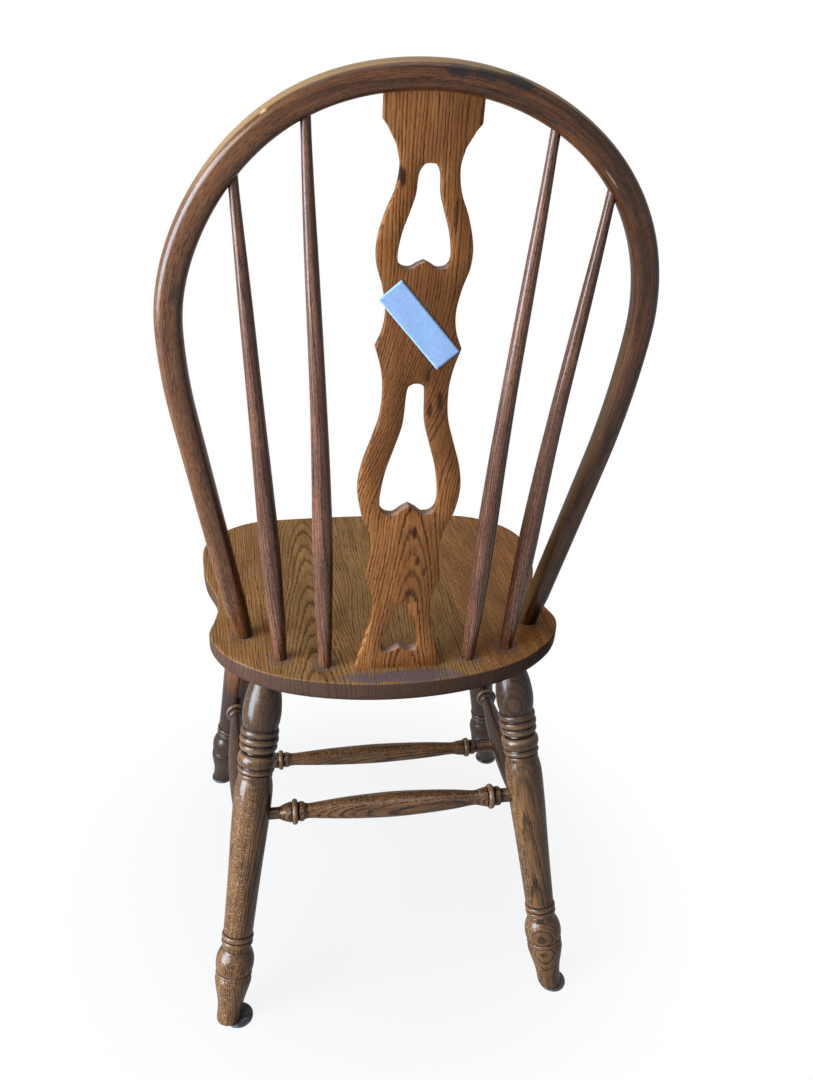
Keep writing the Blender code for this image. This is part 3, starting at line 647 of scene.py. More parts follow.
def seat_finish():
    mix = new_material("seat oak")
    place = mix.places()
    wide, deep, high = mix.split(place)
    heart = by_board(mix, wide, 1, -300.0, 340.0)
    slant = by_board(mix, wide, 2, 0.0, 0.4)
    orange = by_board(mix, wide, 3, 0.0, 1.0)
    blank = in_mm(mix, mix.node("CombineXYZ", {}, (wide, high, deep + heart * 0.01)))
    slow = mix.noise(blank, (0.012, 0.012, 0.0060), detail=1.0)
    x = wide * METRES_TO_MM - heart + (slow - 0.5) * 24.0
    radius = (x * x + HEART_DEPTH**2) ** 0.5 - deep * METRES_TO_MM * slant
    body = mix.blend(orange, OLIVE_BODY, ORANGE_BODY)
    pale = mix.blend(orange, OLIVE_PALE, ORANGE_PALE)
    mix = oak(blank, radius, (pale, body, SEAT_DARK), ring=3.7, contrast=0.88, speckle=0.35)
    cloudy = mix.noise(place, (34.0, 90.0, 60.0), detail=4.0)
    # a lavender film along the rear rim and round the feet: dust and glue with a painted sheen
    rim_dust_and_sheen = mix.marks(place, [(DUST_AND_SHEEN_PLACE, DUST_AND_SHEEN_REACH, 0.95)], (cloudy - 0.5) * 1.6)
    rings = []
    for foot in FEET_ON_SEAT:
        away = mix.distance(place, (*foot, SEAT_TOP)) + (cloudy - 0.5) * 0.006
        rings.append(away.between(0.008, 0.0115) * (1.0 - away.between(0.0125, 0.0165)))
    dust_and_sheen_film = rim_dust_and_sheen.larger(largest(rings) * 0.6) * cloudy.between(0.20, 0.50)
    wood = mix.blend(dust_and_sheen_film, mix.wood, DUST_AND_SHEEN)
    fleck = mix.noise(place, (420.0, 420.0, 420.0), detail=0.0).between(0.78, 0.82)
    wood = mix.blend(fleck * 0.4, wood, LINT)
    # painted shade on the sides: darker and plainer wherever the surface does not face up
    _, _, upward = mix.split(mix.node("NewGeometry", output="Normal"))
    side = 1.0 - upward.between(0.45, 0.85)
    mix.wood = mix.blend(side * 0.88, wood, SEAT_SIDE_PAINTED_SHADE)
    return varnish(mix, gloss=0.08, roughness=0.44)


seat_bm = seat_mesh()
remember(seat_bm, (0, 0, 0))
finished("glued_seat", seat_bm, seat_finish(), "seat")

# %% [markdown]
# ## The bow
# The bow is one straight rod, steamed and pulled round a form. Blender can do what the form does:
# one rounded oblong section is spun through a quarter circle, then about a far centre along the
# side, and then drawn out straight to the foot, where the rod is turned round to fit its socket.

# %% Bend the bow
BOW_RADIUS = 0.2196
BOW_SHOULDERS = {1: 0.0006, -1: 0.0014}
BOW_LIFTS = {1: 0.0042, -1: -0.0011}
BOW_EQUATOR = 0.385
BOW_BENDS = {1: 0.0868, -1: 0.1464}
BOW_FEET_OUT = {1: 0.1697, -1: 0.1728}
BOW_LEAN = math.radians(12.82)
BOW_FOOT_X_SHIFT = 0.0008
BOW_FOOT_Y = 0.0660
BOW_WIDTH = 0.0226          # across the crown
BOW_SIDE_WIDTH = 0.0247     # across each side
BOW_DEPTH = 0.0220
BOW_CORNER = 0.0088         # worn rounder than the measured solid's 0.0055
BOW_FOOT_RADIUS = 0.0106
BOW_FOOT_BLEND = 0.045
BOW_TENON = 0.020
BOW_FEET_AT = Matrix.Translation((BOW_FOOT_X_SHIFT, BOW_FOOT_Y, SEAT_TOP))
BOW_PLACE = BOW_FEET_AT @ Matrix.Rotation(-BOW_LEAN, 4, "X")


def oblong_section(oblong, steps=7):
    """Points round the rod, across and through it; oblong is 0 where it is turned round."""
    width = 2 * BOW_FOOT_RADIUS + (BOW_SIDE_WIDTH - 2 * BOW_FOOT_RADIUS) * oblong
    depth = 2 * BOW_FOOT_RADIUS + (BOW_DEPTH - 2 * BOW_FOOT_RADIUS) * oblong
    corner = BOW_FOOT_RADIUS + (BOW_CORNER - BOW_FOOT_RADIUS) * oblong - 0.0001
    points = []
    for turn, (across, through) in enumerate(((1, 1), (-1, 1), (-1, -1), (1, -1))):
        for step in range(steps):
            angle = math.pi / 2 * (turn + step / (steps - 1))
            points.append((
                across * (width / 2 - corner) + corner * math.cos(angle),
                through * (depth / 2 - corner) + corner * math.sin(angle),
            ))
    return points


def bow_splay(side):
    """A side's lean in towards its foot, and the radius of the curve that leads to it."""
    splay = math.atan((BOW_RADIUS - BOW_FEET_OUT[side]) / (BOW_EQUATOR - BOW_BENDS[side] / 2))
    return splay, BOW_BENDS[side] / math.sin(splay)


def bow_straight(side):
    """The top of a side's straight run and its length."""
    splay, curve = bow_splay(side)
    out = BOW_RADIUS - curve * (1 - math.cos(splay))
    up = BOW_EQUATOR - BOW_BENDS[side]
    return out, up, up / math.cos(splay)


def fuller(side, angle):
    """How far the bow stands out from the half circle at an angle round it."""
    return (BOW_SHOULDERS[side] - BOW_LIFTS[side] * math.cos(2 * angle)) * math.sin(2 * angle) ** 2


def unbend_bow(point):
    """Where a point of the bow lay in the straight rod: across, through and along."""
    side = 1 if point.x >= 0 else -1
    splay, curve = bow_splay(side)
    out = abs(point.x)
    rise = point.z - BOW_EQUATOR
    if rise >= 0:
        radius = math.hypot(out, rise)
        return Vector((radius - BOW_RADIUS, point.y, side * BOW_RADIUS * math.atan2(out, rise)))
    quarter = BOW_RADIUS * math.pi / 2
    reach = out - (BOW_RADIUS - curve)
    angle = math.atan2(-rise, reach)
    if angle <= splay:
        radius = math.hypot(reach, rise)
        return Vector((radius - curve, point.y, side * (quarter + curve * angle)))
    top_out, top_up, _ = bow_straight(side)
    down = Vector((-math.sin(splay), -math.cos(splay)))
    offset = Vector((out - top_out, point.z - top_up))
    along = quarter + curve * splay + offset.dot(down)
    across = offset.dot(Vector((math.cos(splay), -math.sin(splay))))
    return Vector((across, point.y, side * along))


def bow_mesh():
    bm = bmesh.new()
    crown = BOW_EQUATOR + BOW_RADIUS
    ring = [bm.verts.new((0, through, crown + across)) for across, through in oblong_section(1.0)]
    crown_edges = [bm.edges.new(pair) for pair in zip(ring, ring[1:] + ring[:1])]
    for side in BOW_BENDS:
        splay, curve = bow_splay(side)
        geom = ring + crown_edges
        arcs = (
            (0.0, math.pi / 2, 64),
            (side * (BOW_RADIUS - curve), splay, 14),
        )
        for centre, angle, steps in arcs:
            geom = bmesh.ops.spin(
                bm, geom=geom, cent=(centre, 0, BOW_EQUATOR), axis=(0, 1, 0),
                angle=side * angle, steps=steps,
            )["geom_last"]
        out, up, straight = bow_straight(side)
        stops = [straight * share for share in (0.7, 0.4)]
        stops += [BOW_FOOT_BLEND * share for share in (1.0, 0.8, 0.6, 0.4, 0.2, 0.0)] + [-BOW_TENON]
        down = Vector((-side * math.sin(splay), 0, -math.cos(splay)))
        outward = Vector((side * math.cos(splay), 0, -math.sin(splay)))
        for stop in stops:
            edges = only(geom, bmesh.types.BMEdge)
            geom = bmesh.ops.extrude_edge_only(bm, edges=edges)["geom"]
            centre = Vector((side * out, 0, up)) + down * (straight - stop)
            section = oblong_section(min(max(stop / BOW_FOOT_BLEND, 0.0), 1.0))
            last = only(geom, bmesh.types.BMVert)
            for vert in last:
                offset = vert.co - centre
                radial = Vector((offset.dot(outward), offset.y))
                near = min(section, key=lambda point: abs(Vector(point).angle_signed(radial)))
                vert.co = centre + outward * near[0] + Vector((0, near[1], 0))
        bmesh.ops.contextual_create(bm, geom=only(geom, bmesh.types.BMEdge))
    return bm


def ease_shoulders(bm):
    """Thins the crown and lets the shoulders out, as the finished bow has them."""
    thinner = 1 - BOW_WIDTH / BOW_SIDE_WIDTH
    for vert in bm.verts:
        rise = vert.co.z - BOW_EQUATOR
        if rise > 0:
            side = 1 if vert.co.x >= 0 else -1
            angle = math.atan2(rise, abs(vert.co.x))
            across = math.hypot(vert.co.x, rise) - BOW_RADIUS
            radius = BOW_RADIUS + across * (1 - thinner * math.sin(angle) ** 2) + fuller(side, angle)
            vert.co.x = side * radius * math.cos(angle)
            vert.co.z = BOW_EQUATOR + radius * math.sin(angle)


bow_bm = bow_mesh()
remember(bow_bm, (0.031, 0.012, 0.4), unbend_bow)
ease_shoulders(bow_bm)
print("bow:", len(bow_bm.verts), "points round one bent rod")

# %% [markdown]
# ## The bow's finish
# Bending closes the pores, and hands have polished them, so the bow is darker and redder than the
# rest and shows speckles more than lines. Its left side has painted light on it, its right side is
# paler inside, and a painted highlight lies along its outer edge over the crown. Five scuffs went
# down to the black stain, three of them near the top. Two nicks and a scratch have broken through
# to pale wood.

# %% Finish the bow
# Each mark: its place in mm across, through and along the straight rod, its size and its strength
SCUFFS = (
    ((38.0, 24.0, 384.0), (7.0, 9.0, 13.0), 0.95), ((40.5, 22.0, 336.0), (6.0, 9.0, 16.0), 0.95),
    ((38.0, 23.0, 362.0), (5.0, 7.0, 12.0), 0.85), ((27.0, 24.0, 700.0), (4.0, 5.0, 16.0), 0.60),
    ((30.0, 24.0, -60.0), (4.0, 5.0, 22.0), 0.60),
)
NICKS = (
    ((42.5, 21.0, 534.0), (2.6, 3.2, 5.0), 0.9), ((39.5, 24.0, 319.0), (2.2, 3.0, 3.4), 0.8),
    ((25.0, 24.0, 222.0), (0.8, 3.0, 14.0), 0.5),
)
BOW_HEART = (40.0, -30.0)
BENT = (colour(0.118, 0.040, 0.013), colour(0.036, 0.012, 0.0045), colour(0.005, 0.003, 0.002))
PALE_INSIDE = colour(0.215, 0.118, 0.046)
LEFT_SIDE_PAINTED_LIGHT = colour(0.190, 0.082, 0.036)
EDGE_PAINTED_HIGHLIGHT = colour(0.320, 0.200, 0.085)
SCUFFED_BLACK = colour(0.010, 0.007, 0.007)
NICKED_PALE = colour(0.400, 0.250, 0.130)


def bow_finish():
    mix = sawn(
        "bent oak", BOW_HEART, BENT, ring=2.9, taper=0.01, sway=9.0, contrast=0.85, speckle=0.80,
    )
    place = in_mm(mix, mix.attribute("blank"))
    across, _, along = mix.split(place)
    ragged = (mix.noise(place, (0.30, 0.30, 0.16), detail=4.0) - 0.5) * 1.1
    inside = (1.0 - across.between(20.5, 23.0)) * (1.0 - along.between(-80.0, 120.0))
    wood = mix.blend(inside * 0.45, mix.wood, PALE_INSIDE)
    # painted light on the bow's left side, the side where the window lamp stands
    left_painted_light = along.between(430.0, 620.0) * mix.pores
    wood = mix.blend(left_painted_light * 0.50, wood, LEFT_SIDE_PAINTED_LIGHT)
    # a painted highlight along the outer edge over the crown
    edge_painted_highlight = across.between(41.3, 42.4) * along.between(170.0, 260.0)
    edge_painted_highlight = edge_painted_highlight * (1.0 - along.between(560.0, 640.0))
    wood = mix.blend(edge_painted_highlight * 0.55, wood, EDGE_PAINTED_HIGHLIGHT)
    wood = mix.blend(mix.marks(place, SCUFFS, ragged), wood, SCUFFED_BLACK)
    mix.wood = mix.blend(mix.marks(place, NICKS, ragged), wood, NICKED_PALE)
    return varnish(mix, gloss=0.36)


finished("bent_bow", bow_bm, bow_finish(), "bow", BOW_PLACE)

# %% [markdown]
# ## The splat
# The splat is the piece that takes the most skill: a flat board whose edges swell and pinch like a
# vase, pierced by three bells, each with a cusp between two lobes. It is drawn as four closed
# outlines, filled between them in one step, thickened, and its arrises eased with a small bevel.

# %% Saw the splat
SPLAT_Y = 0.1435
SPLAT_THICKNESS = 0.011
SPLAT_TENON = 0.014
SPLAT_TONGUE = 0.008
SPLAT_BLOCK = 0.040
SPLAT_FOOT = 0.048
SPLAT_NECK = 0.0246
SPLAT_ARRIS = 0.0009


def splat_frame():
    """The matrix of the splat's plane at the seat, and its height to the bow's inner edge."""
    crown = BOW_PLACE @ Vector((-BOW_FOOT_X_SHIFT, 0, BOW_EQUATOR + BOW_RADIUS - BOW_WIDTH / 2))
    rise = crown - Vector((0, SPLAT_Y, SEAT_TOP))
    lean = math.atan2(rise.y, rise.z)
    return Matrix.Translation((0, SPLAT_Y, SEAT_TOP)) @ Matrix.Rotation(-lean, 4, "X"), rise.length


def splat_edge(height, steps=6):
    neck = SPLAT_NECK
    foot_curve = [(SPLAT_FOOT, 0.0), (0.0385, 0.038), (0.0315, 0.070), (0.0308, 0.092), (0.0345, 0.107)]
    lower_ear = (0.0395, 0.119)
    lower_bulge = [
        lower_ear, (0.0352, 0.150), (0.0378, 0.177), (0.0470, 0.200), (0.0510, 0.227),
        (0.0478, 0.252), (0.0395, 0.279), (0.0325, 0.303), (0.0305, 0.328), (0.0328, 0.350),
    ]
    upper_ear = (0.0392, 0.372)
    upper_bulge = [
        upper_ear, (0.0330, 0.388), (0.0312, 0.406), (0.0350, 0.427), (0.0405, 0.445),
        (0.0410, 0.464), (0.0352, 0.487), (0.0275, 0.506), (neck, 0.525), (neck + 0.0033, 0.5405),
    ]
    block = [(SPLAT_BLOCK - 0.0045, 0.5535), (SPLAT_BLOCK, 0.559)]
    edge = [Vector((SPLAT_FOOT, -SPLAT_TENON))]
    edge += smooth_line(foot_curve + [lower_ear], steps)[:-1]
    edge += smooth_line(lower_bulge + [upper_ear], steps)[:-1]
    edge += smooth_line(upper_bulge, steps)
    edge += map(Vector, block)
    edge.append(Vector((SPLAT_BLOCK, height + SPLAT_TONGUE)))
    return edge


def bell(top, bottom, shoulder, hip, steps=6):
    """A bell-shaped piercing: a round head, swelling hips and two lobes with a cusp between."""
    tall = top - bottom
    swell = hip - shoulder
    side = [
        (0.0, top), (0.55 * shoulder, top - 0.14 * shoulder), (shoulder, top - 0.90 * shoulder),
        (shoulder + 0.10 * swell, top - 0.28 * tall), (shoulder + 0.38 * swell, top - 0.44 * tall),
        (shoulder + 0.80 * swell, top - 0.65 * tall), (hip, top - 0.84 * tall),
        (0.97 * hip, bottom + 0.060 * tall), (0.80 * hip, bottom + 0.010 * tall), (0.50 * hip, bottom),
        (0.24 * hip, bottom + 0.040 * tall), (0.0, bottom + 0.070 * tall),
    ]
    right = smooth_line(side, steps)
    left = [Vector((-point.x, point.y)) for point in reversed(right[1:-1])]
    return right + left


SPLAT_PLACE, SPLAT_HEIGHT = splat_frame()


def splat_mesh():
    right = splat_edge(SPLAT_HEIGHT)
    loops = [
        right + [Vector((-point.x, point.y)) for point in reversed(right)],
        bell(0.5285, 0.4435, 0.0094, 0.0235),
        bell(0.3385, 0.1985, 0.0087, 0.0292),
        bell(0.0890, 0.0240, 0.0078, 0.0205),
    ]
    bm = bmesh.new()
    edges = []
    for loop in loops:
        ring = [bm.verts.new((point.x, -SPLAT_THICKNESS / 2, point.y)) for point in loop]
        edges += [bm.edges.new(pair) for pair in zip(ring, ring[1:] + ring[:1])]
    bmesh.ops.triangle_fill(bm, use_beauty=True, edges=edges)
    raised = bmesh.ops.extrude_face_region(bm, geom=list(bm.faces), use_keep_orig=True)["geom"]
    moved = only(raised, bmesh.types.BMVert)
    bmesh.ops.translate(bm, verts=moved, vec=(0, SPLAT_THICKNESS, 0))
    bmesh.ops.recalc_face_normals(bm, faces=bm.faces)
    arris = [edge for edge in bm.edges if len(edge.link_faces) == 2 and edge.calc_face_angle() > 1.2]
    arris = [edge for edge in arris if abs(edge.verts[0].co.y - edge.verts[1].co.y) < 1e-6]
    ease(bm, arris, SPLAT_ARRIS, 2)
    return bm


print("splat outline:", len(splat_edge(SPLAT_HEIGHT)), "points a side")

# %% [markdown]
# ## The splat's finish
# The splat is plain-sawn near the heart, so its years open into arches that wander from one side to
# the other as the board rises. It is orange brown, darker in the middle where hands take hold of
# it, and dark stain has soaked into short stretches of its grain. Every upward face has a pale
# painted reflection.

# %% Finish the splat
# Each stain: its place in mm across and up the splat, its half width and height, and its strength
SPLAT_STAINS = (
    (23.5, 518.0, 4.5, 9.0, 0.95), (6.6, 458.0, 3.0, 8.0, 0.8), (-8.4, 177.0, 3.0, 9.0, 0.85),
    (-12.7, 141.5, 2.6, 8.0, 0.8), (-20.9, 128.6, 2.4, 7.0, 0.7), (-5.9, 96.0, 2.2, 12.0, 0.7),
    (-22.9, 322.0, 3.4, 12.0, 0.8), (-14.0, 312.0, 3.0, 9.0, 0.8), (-9.8, 347.0, 3.0, 9.0, 0.7),
    (-24.0, 489.0, 2.2, 16.0, 0.75), (-18.0, 450.0, 2.4, 13.0, 0.7),
)
STAIN_DEPTH = 40.0          # mm, more than the board's thickness
FRETTED = (colour(0.292, 0.119, 0.038), colour(0.162, 0.058, 0.017), colour(0.022, 0.008, 0.004))
HANDLED_BROWN = colour(0.060, 0.021, 0.009)
STAIN_BROWN = colour(0.026, 0.010, 0.006)
LEDGE_PAINTED_REFLECTION = colour(0.240, 0.190, 0.165)


def splat_finish():
    mix = new_material("splat oak")
    place = in_mm(mix, mix.attribute("blank"))
    across, behind, along = mix.split(place)
    slow = mix.noise(place, (0.020, 0.020, 0.0075), detail=1.0)
    x = across + 8.0 + along.between(190.0, 430.0) * 62.0 + (slow - 0.5) * 13.0
    y = behind + 16.0
    radius = (x * x + y * y) ** 0.5 + along.between(-60.0, 300.0) * 26.0
    mix = oak(place, radius, FRETTED, ring=2.9, contrast=1.0, speckle=0.38)
    ragged = (mix.noise(place, (0.45, 0.45, 0.10), detail=4.0) - 0.5) * 1.3
    handled = along.between(215.0, 290.0) * (1.0 - along.between(395.0, 470.0) * 0.6)
    wood = mix.blend(handled * 0.42, mix.wood, HANDLED_BROWN)
    stains = []
    for aside, up, wide, tall, strength in SPLAT_STAINS:
        stains.append(((aside, 0.0, up), (wide, STAIN_DEPTH, tall), strength))
    wood = mix.blend(mix.marks(place, stains, ragged), wood, STAIN_BROWN)
    _, _, upward = mix.split(mix.node("NewGeometry", output="Normal"))
    # a pale painted reflection on every upward face
    mix.wood = mix.blend(upward.between(0.55, 0.9) * 0.55, wood, LEDGE_PAINTED_REFLECTION)
    return varnish(mix, gloss=0.10, roughness=0.38)


splat_bm = splat_mesh()
remember(splat_bm, (0, 0, 0))
finished("pierced_splat", splat_bm, splat_finish(), "splat", SPLAT_PLACE)

# %% [markdown]
# ## A lathe
# Legs, stretchers and spindles are all turned: a profile spun about its length. The profile is a
# list of places and radii. Its relief is how far each point stands over the mean of what is near it
# along the piece, which is what decides where stain and painted shade gather and where it wears away.

# %% Build the lathe
RELIEF_REACH = 0.005
RELIEF_FULL = 0.0016        # a crown or a groove this deep counts in full


def bead(start, length, edge, crown, steps=10):
    """A half-round swelling on a turned profile, as (place, radius) pairs."""
    points = []
    for step in range(steps + 1):
        angle = math.pi * step / steps
        points.append((
            start + length * (1 - math.cos(angle)) / 2,
            edge + (crown - edge) * math.sin(angle),
        ))
    return points


def densely(profile, gap=0.004):
    """Adds points along the long stretches of a profile."""
    dense = [profile[0]]
    for here, there in zip(profile, profile[1:]):
        parts = max(1, math.ceil((there[0] - here[0]) / gap))
        for part in range(1, parts + 1):
            dense.append(tuple(Vector(here).lerp(Vector(there), part / parts)))
    return dense


def profile_relief(profile):
    levels = []
    for place, radius in profile:
        near = [other for where, other in profile if abs(where - place) < RELIEF_REACH]
        levels.append(min(max((radius - sum(near) / len(near)) / RELIEF_FULL, -1.0), 1.0))
    return levels


def turned(profile, sides):
    """Spins a profile about +Z, remembers its relief and closes both ends."""
    bm = bmesh.new()
    relief = relief_layer(bm)
    points = []
    for (place, radius), level in zip(profile, profile_relief(profile)):
        vert = bm.verts.new((radius, 0, place))
        vert[relief] = level
        points.append(vert)
    edges = [bm.edges.new(pair) for pair in zip(points, points[1:])]
    bmesh.ops.spin(
        bm, geom=points + edges, axis=(0, 0, 1), cent=(0, 0, 0),
        angle=2 * math.pi, steps=sides, use_merge=True,
    )
    bmesh.ops.holes_fill(bm, edges=[edge for edge in bm.edges if edge.is_boundary], sides=0)
    return bm


def facing(place, further=0.0):
    """Turns a blank about its own length, so that its back is the chair's back, or further round."""
    back = place.to_3x3().inverted() @ Vector((0, 1, 0))
    turn = Matrix.Rotation(math.atan2(back.x, back.y) + further, 4, "Z")
    return lambda point: turn @ point


def other_wood(number):
    """A shift that gives each turned piece its own part of the tree."""
    return (0.013 * math.sin(2.4 * number), 0.009 * math.cos(1.7 * number), 0.731 * number)


print("lathe ready")

# %% [markdown]
# ## Spindles
# Four slim sticks fill the bow. Each is fullest low down, thinnest where it enters the bow, and has
# bent a little sideways over the years, which a gentle wave in the mesh repeats.

# %% Turn the spindles
# Each spindle: its foot on the seat, its angle round the bow and how far it has bent
SPINDLES = {
    "outer_left": ((0.1290, 0.1185), math.radians(43.9), -0.0003),
    "inner_left": ((0.0802, 0.1370), math.radians(63.1), -0.0026),
    "inner_right": ((-0.0820, 0.1370), math.radians(118.1), 0.0028),
    "outer_right": ((-0.1315, 0.1185), math.radians(137.6), 0.0034),
}
SPINDLE_FOOT_RADIUS = 0.0071
SPINDLE_BELLY_RADIUS = 0.0104
SPINDLE_TIP_RADIUS = 0.0044
SPINDLE_TENON = 0.016
SPINDLE_TIP_LENGTH = 0.027


def spindle_axis(name):
    foot, angle, _ = SPINDLES[name]
    radius = BOW_RADIUS + fuller(1 if angle < math.pi / 2 else -1, angle)
    tip = Vector((radius * math.cos(angle), 0, BOW_EQUATOR + radius * math.sin(angle)))
    return Vector((*foot, SEAT_TOP)), BOW_PLACE @ tip


def make_spindle(number, name):
    foot, tip = spindle_axis(name)
    spring = SPINDLES[name][2]
    length = (tip - foot).length
    neck = length - SPINDLE_TIP_LENGTH
    belly = SPINDLE_BELLY_RADIUS
    above = belly - SPINDLE_TIP_RADIUS
    knots = [
        (0.003, SPINDLE_FOOT_RADIUS), (0.13 * neck, belly - 0.0012), (0.29 * neck, belly),
        (0.45 * neck, belly - 0.20 * above), (0.60 * neck, belly - 0.44 * above),
        (0.80 * neck, belly - 0.66 * above), (0.93 * neck, belly - 0.88 * above),
        (neck, SPINDLE_TIP_RADIUS),
    ]
    foot_radius = SPINDLE_FOOT_RADIUS
    profile = [(-SPINDLE_TENON, foot_radius - 0.0008), (-SPINDLE_TENON + 0.001, foot_radius)]
    profile += rounded(knots, 8)
    profile += [(length - 0.0008, SPINDLE_TIP_RADIUS), (length, SPINDLE_TIP_RADIUS - 0.0006)]
    bm = turned(profile, sides=28)
    place = line_up(foot, tip)
    remember(bm, other_wood(number), facing(place))
    towards_x = (tip - foot).to_track_quat("Z", "Y").inverted() @ Vector((1, 0, 0))
    for vert in bm.verts:
        share = min(max(vert.co.z / neck, 0.0), 1.0)
        vert.co += towards_x * spring * math.sin(math.pi * share) ** 2
    finished("shaved_spindle_" + name, bm, SHAVED_OAK, "spindle_" + name, place)


for number, name in enumerate(SPINDLES):
    make_spindle(number, name)

# %% [markdown]
# ## Legs
# Each leg is a vase, three rings and a collar over a long body, then ankle rings and a bulbous
# foot. The ends keep their own lengths, and only the body between them takes up the leg's length.
# The foot is sawn level, which a bisecting plane does after the turning. The rear left leg's wood
# is turned further round than the others', so that its rays show as flecks at the back.

# %% Turn the legs
PAD_THICKNESS = 0.0035
FOOT_GAP = 0.0003
LEG_TOPS = {"front": (0.156, -0.161), "rear": (0.1448, 0.0986)}
LEG_FEET = {"front": (0.223, -0.2079), "rear": (0.2047, 0.2275)}
LEG_TENON = 0.019
LEG_TENON_RADIUS = 0.014
LEG_RADIUS = 0.0226
LEG_WAIST_RADIUS = 0.0165
LEG_ANKLE_RADIUS = 0.0174
LEG_TOE_RADIUS = 0.0148
FOOT_WEAR = 0.0016
SIDES = {"left": 1, "right": -1}
LEG_TURNS = {"rear_left": 0.85}         # radians


def leg_axis(row, side):
    top = Vector((side * LEG_TOPS[row][0], LEG_TOPS[row][1], SEAT_UNDERSIDE))
    foot = Vector((side * LEG_FEET[row][0], LEG_FEET[row][1], PAD_THICKNESS + FOOT_GAP))
    return top, foot


# Each small ring under the vase: where it begins, and its edge and crown over the full radius
LEG_RINGS = ((0.0702, -0.0022, -0.0002), (0.0792, -0.0020, 0.0003), (0.0882, -0.0030, -0.0004))


def on_leg(*pairs, start=0.0):
    """Knots of a profile: places counted from start, and radii counted from the full one."""
    return [(start + place, LEG_RADIUS + over) for place, over in pairs]


def leg_profile(length):
    full = LEG_RADIUS
    profile = [(-LEG_TENON, LEG_TENON_RADIUS - 0.001), (-LEG_TENON + 0.0012, LEG_TENON_RADIUS)]
    vase = on_leg((0.015, -0.0060), (0.031, -0.0018), (0.048, 0.0), (0.060, -0.0004), (0.0690, -0.0022))
    profile += rounded([(0.004, LEG_TENON_RADIUS)] + vase, 6)
    for place, edge, crown in LEG_RINGS:
        profile += bead(place, 0.0086, full + edge, full + crown)
    profile += [(0.0980, LEG_WAIST_RADIUS + 0.0004), (0.0988, LEG_WAIST_RADIUS)]
    profile += bead(0.1000, 0.0178, full - 0.0056, full + 0.0003, 14)[:-2]
    profile += on_leg((0.1182, -0.0026), (0.1192, -0.0014), (0.1213, -0.0008), (0.1232, -0.0016))
    profile += on_leg((0.1250, -0.0040), (0.1264, -0.0026), (0.1285, -0.0024))
    body = on_leg((0.1300, -0.0030), (0.143, -0.0006), (0.160, 0.0), (0.200, -0.0008), (0.240, -0.0024))
    body += on_leg((-0.150, -0.0040), (-0.1165, -0.0048), start=length)
    profile += densely(rounded(body, 6), 0.006)
    profile += bead(length - 0.1130, 0.0068, full - 0.0054, full - 0.0034, 8)
    profile += bead(length - 0.1055, 0.0068, full - 0.0054, full - 0.0036, 8)
    ankle = [(length - 0.0980, LEG_ANKLE_RADIUS + 0.0004), (length - 0.0935, LEG_ANKLE_RADIUS)]
    bulb = on_leg((-0.0880, -0.0024), (-0.0800, 0.0001), (-0.0700, 0.0003), start=length)
    bulb += on_leg((-0.0634, -0.0014), start=length)
    profile += rounded(ankle + bulb, 6)
    profile += bead(length - 0.0626, 0.0042, full - 0.0018, full - 0.0005, 8)
    foot = on_leg((-0.0576, -0.0014), (-0.0510, -0.0005), (-0.0400, -0.0026), start=length)
    toe = [
        (length - 0.0230, LEG_TOE_RADIUS + 0.0014), (length - 0.0080, LEG_TOE_RADIUS),
        (length + 0.0120, LEG_TOE_RADIUS + 0.0004),
    ]
    profile += rounded(foot + toe, 6)
    return profile


def make_leg(number, row, hand):
    top, foot = leg_axis(row, SIDES[hand])
    along = foot - top
    bm = turned(leg_profile(along.length), sides=48)
    level = along.to_track_quat("Z", "Y").inverted() @ Vector((0, 0, 1))
    bmesh.ops.bisect_plane(
        bm, geom=bm.verts[:] + bm.edges[:] + bm.faces[:], plane_co=(0, 0, along.length),
        plane_no=level, clear_inner=True,
    )
    open_edges = [edge for edge in bm.edges if edge.is_boundary]
    sole = bmesh.ops.holes_fill(bm, edges=open_edges, sides=0)["faces"][0]
    ease(bm, list(sole.edges), FOOT_WEAR, 3)
    place = line_up(top, foot)
    name = f"{row}_{hand}"
    remember(bm, other_wood(number), facing(place, LEG_TURNS.get(name, 0.0)))
    wood = FOOTED_OAK if row == "front" else GOLDEN_OAK
    finished("turned_leg_" + name, bm, wood, "leg_" + name, place)


for number, (hand, row) in enumerate(itertools.product(SIDES, LEG_TOPS), 10):
    make_leg(number, row, hand)

# %% [markdown]
# ## Stretchers
# Four stretchers tie the legs: one at each side, one between the rear legs and a slimmer one
# between the side stretchers. All are one pattern: a swelling rod with a flared ring and a small
# bead near each end. Their tenons stop inside the legs.

# %% Turn the stretchers
REAR_STRETCHER_DROP = 0.1812
SIDE_STRETCHER_REAR_DROP = 0.2440
SIDE_STRETCHER_FRONT_DROP = 0.2490
MIDDLE_STRETCHER_SHARE = 0.53
STRETCHER_START_RADIUS = 0.0071
STRETCHER_END_RADIUS = 0.0086
STRETCHER_RING_RADIUS = 0.0152
STRETCHER_BELLY_RADIUS = 0.0150
MIDDLE_STRETCHER_SCALE = 0.88
STRETCHER_RINGS = {"side": (0.0510, 0.0500), "rear": (0.0520, 0.0465), "middle": (0.0570, 0.0530)}
TENON_TIP_IN_LEG = 0.006
TENON_TIP_IN_STRETCHER = 0.003


def down_leg(row, side, drop):
    top, foot = leg_axis(row, side)
    return top + (foot - top).normalized() * drop


def side_stretcher_axis(side):
    front = down_leg("front", side, SIDE_STRETCHER_FRONT_DROP)
    return front, down_leg("rear", side, SIDE_STRETCHER_REAR_DROP)


def middle_stretcher_axis():
    ends = []
    for side in (1, -1):
        front, rear = side_stretcher_axis(side)
        ends.append(rear.lerp(front, MIDDLE_STRETCHER_SHARE))
    return ends


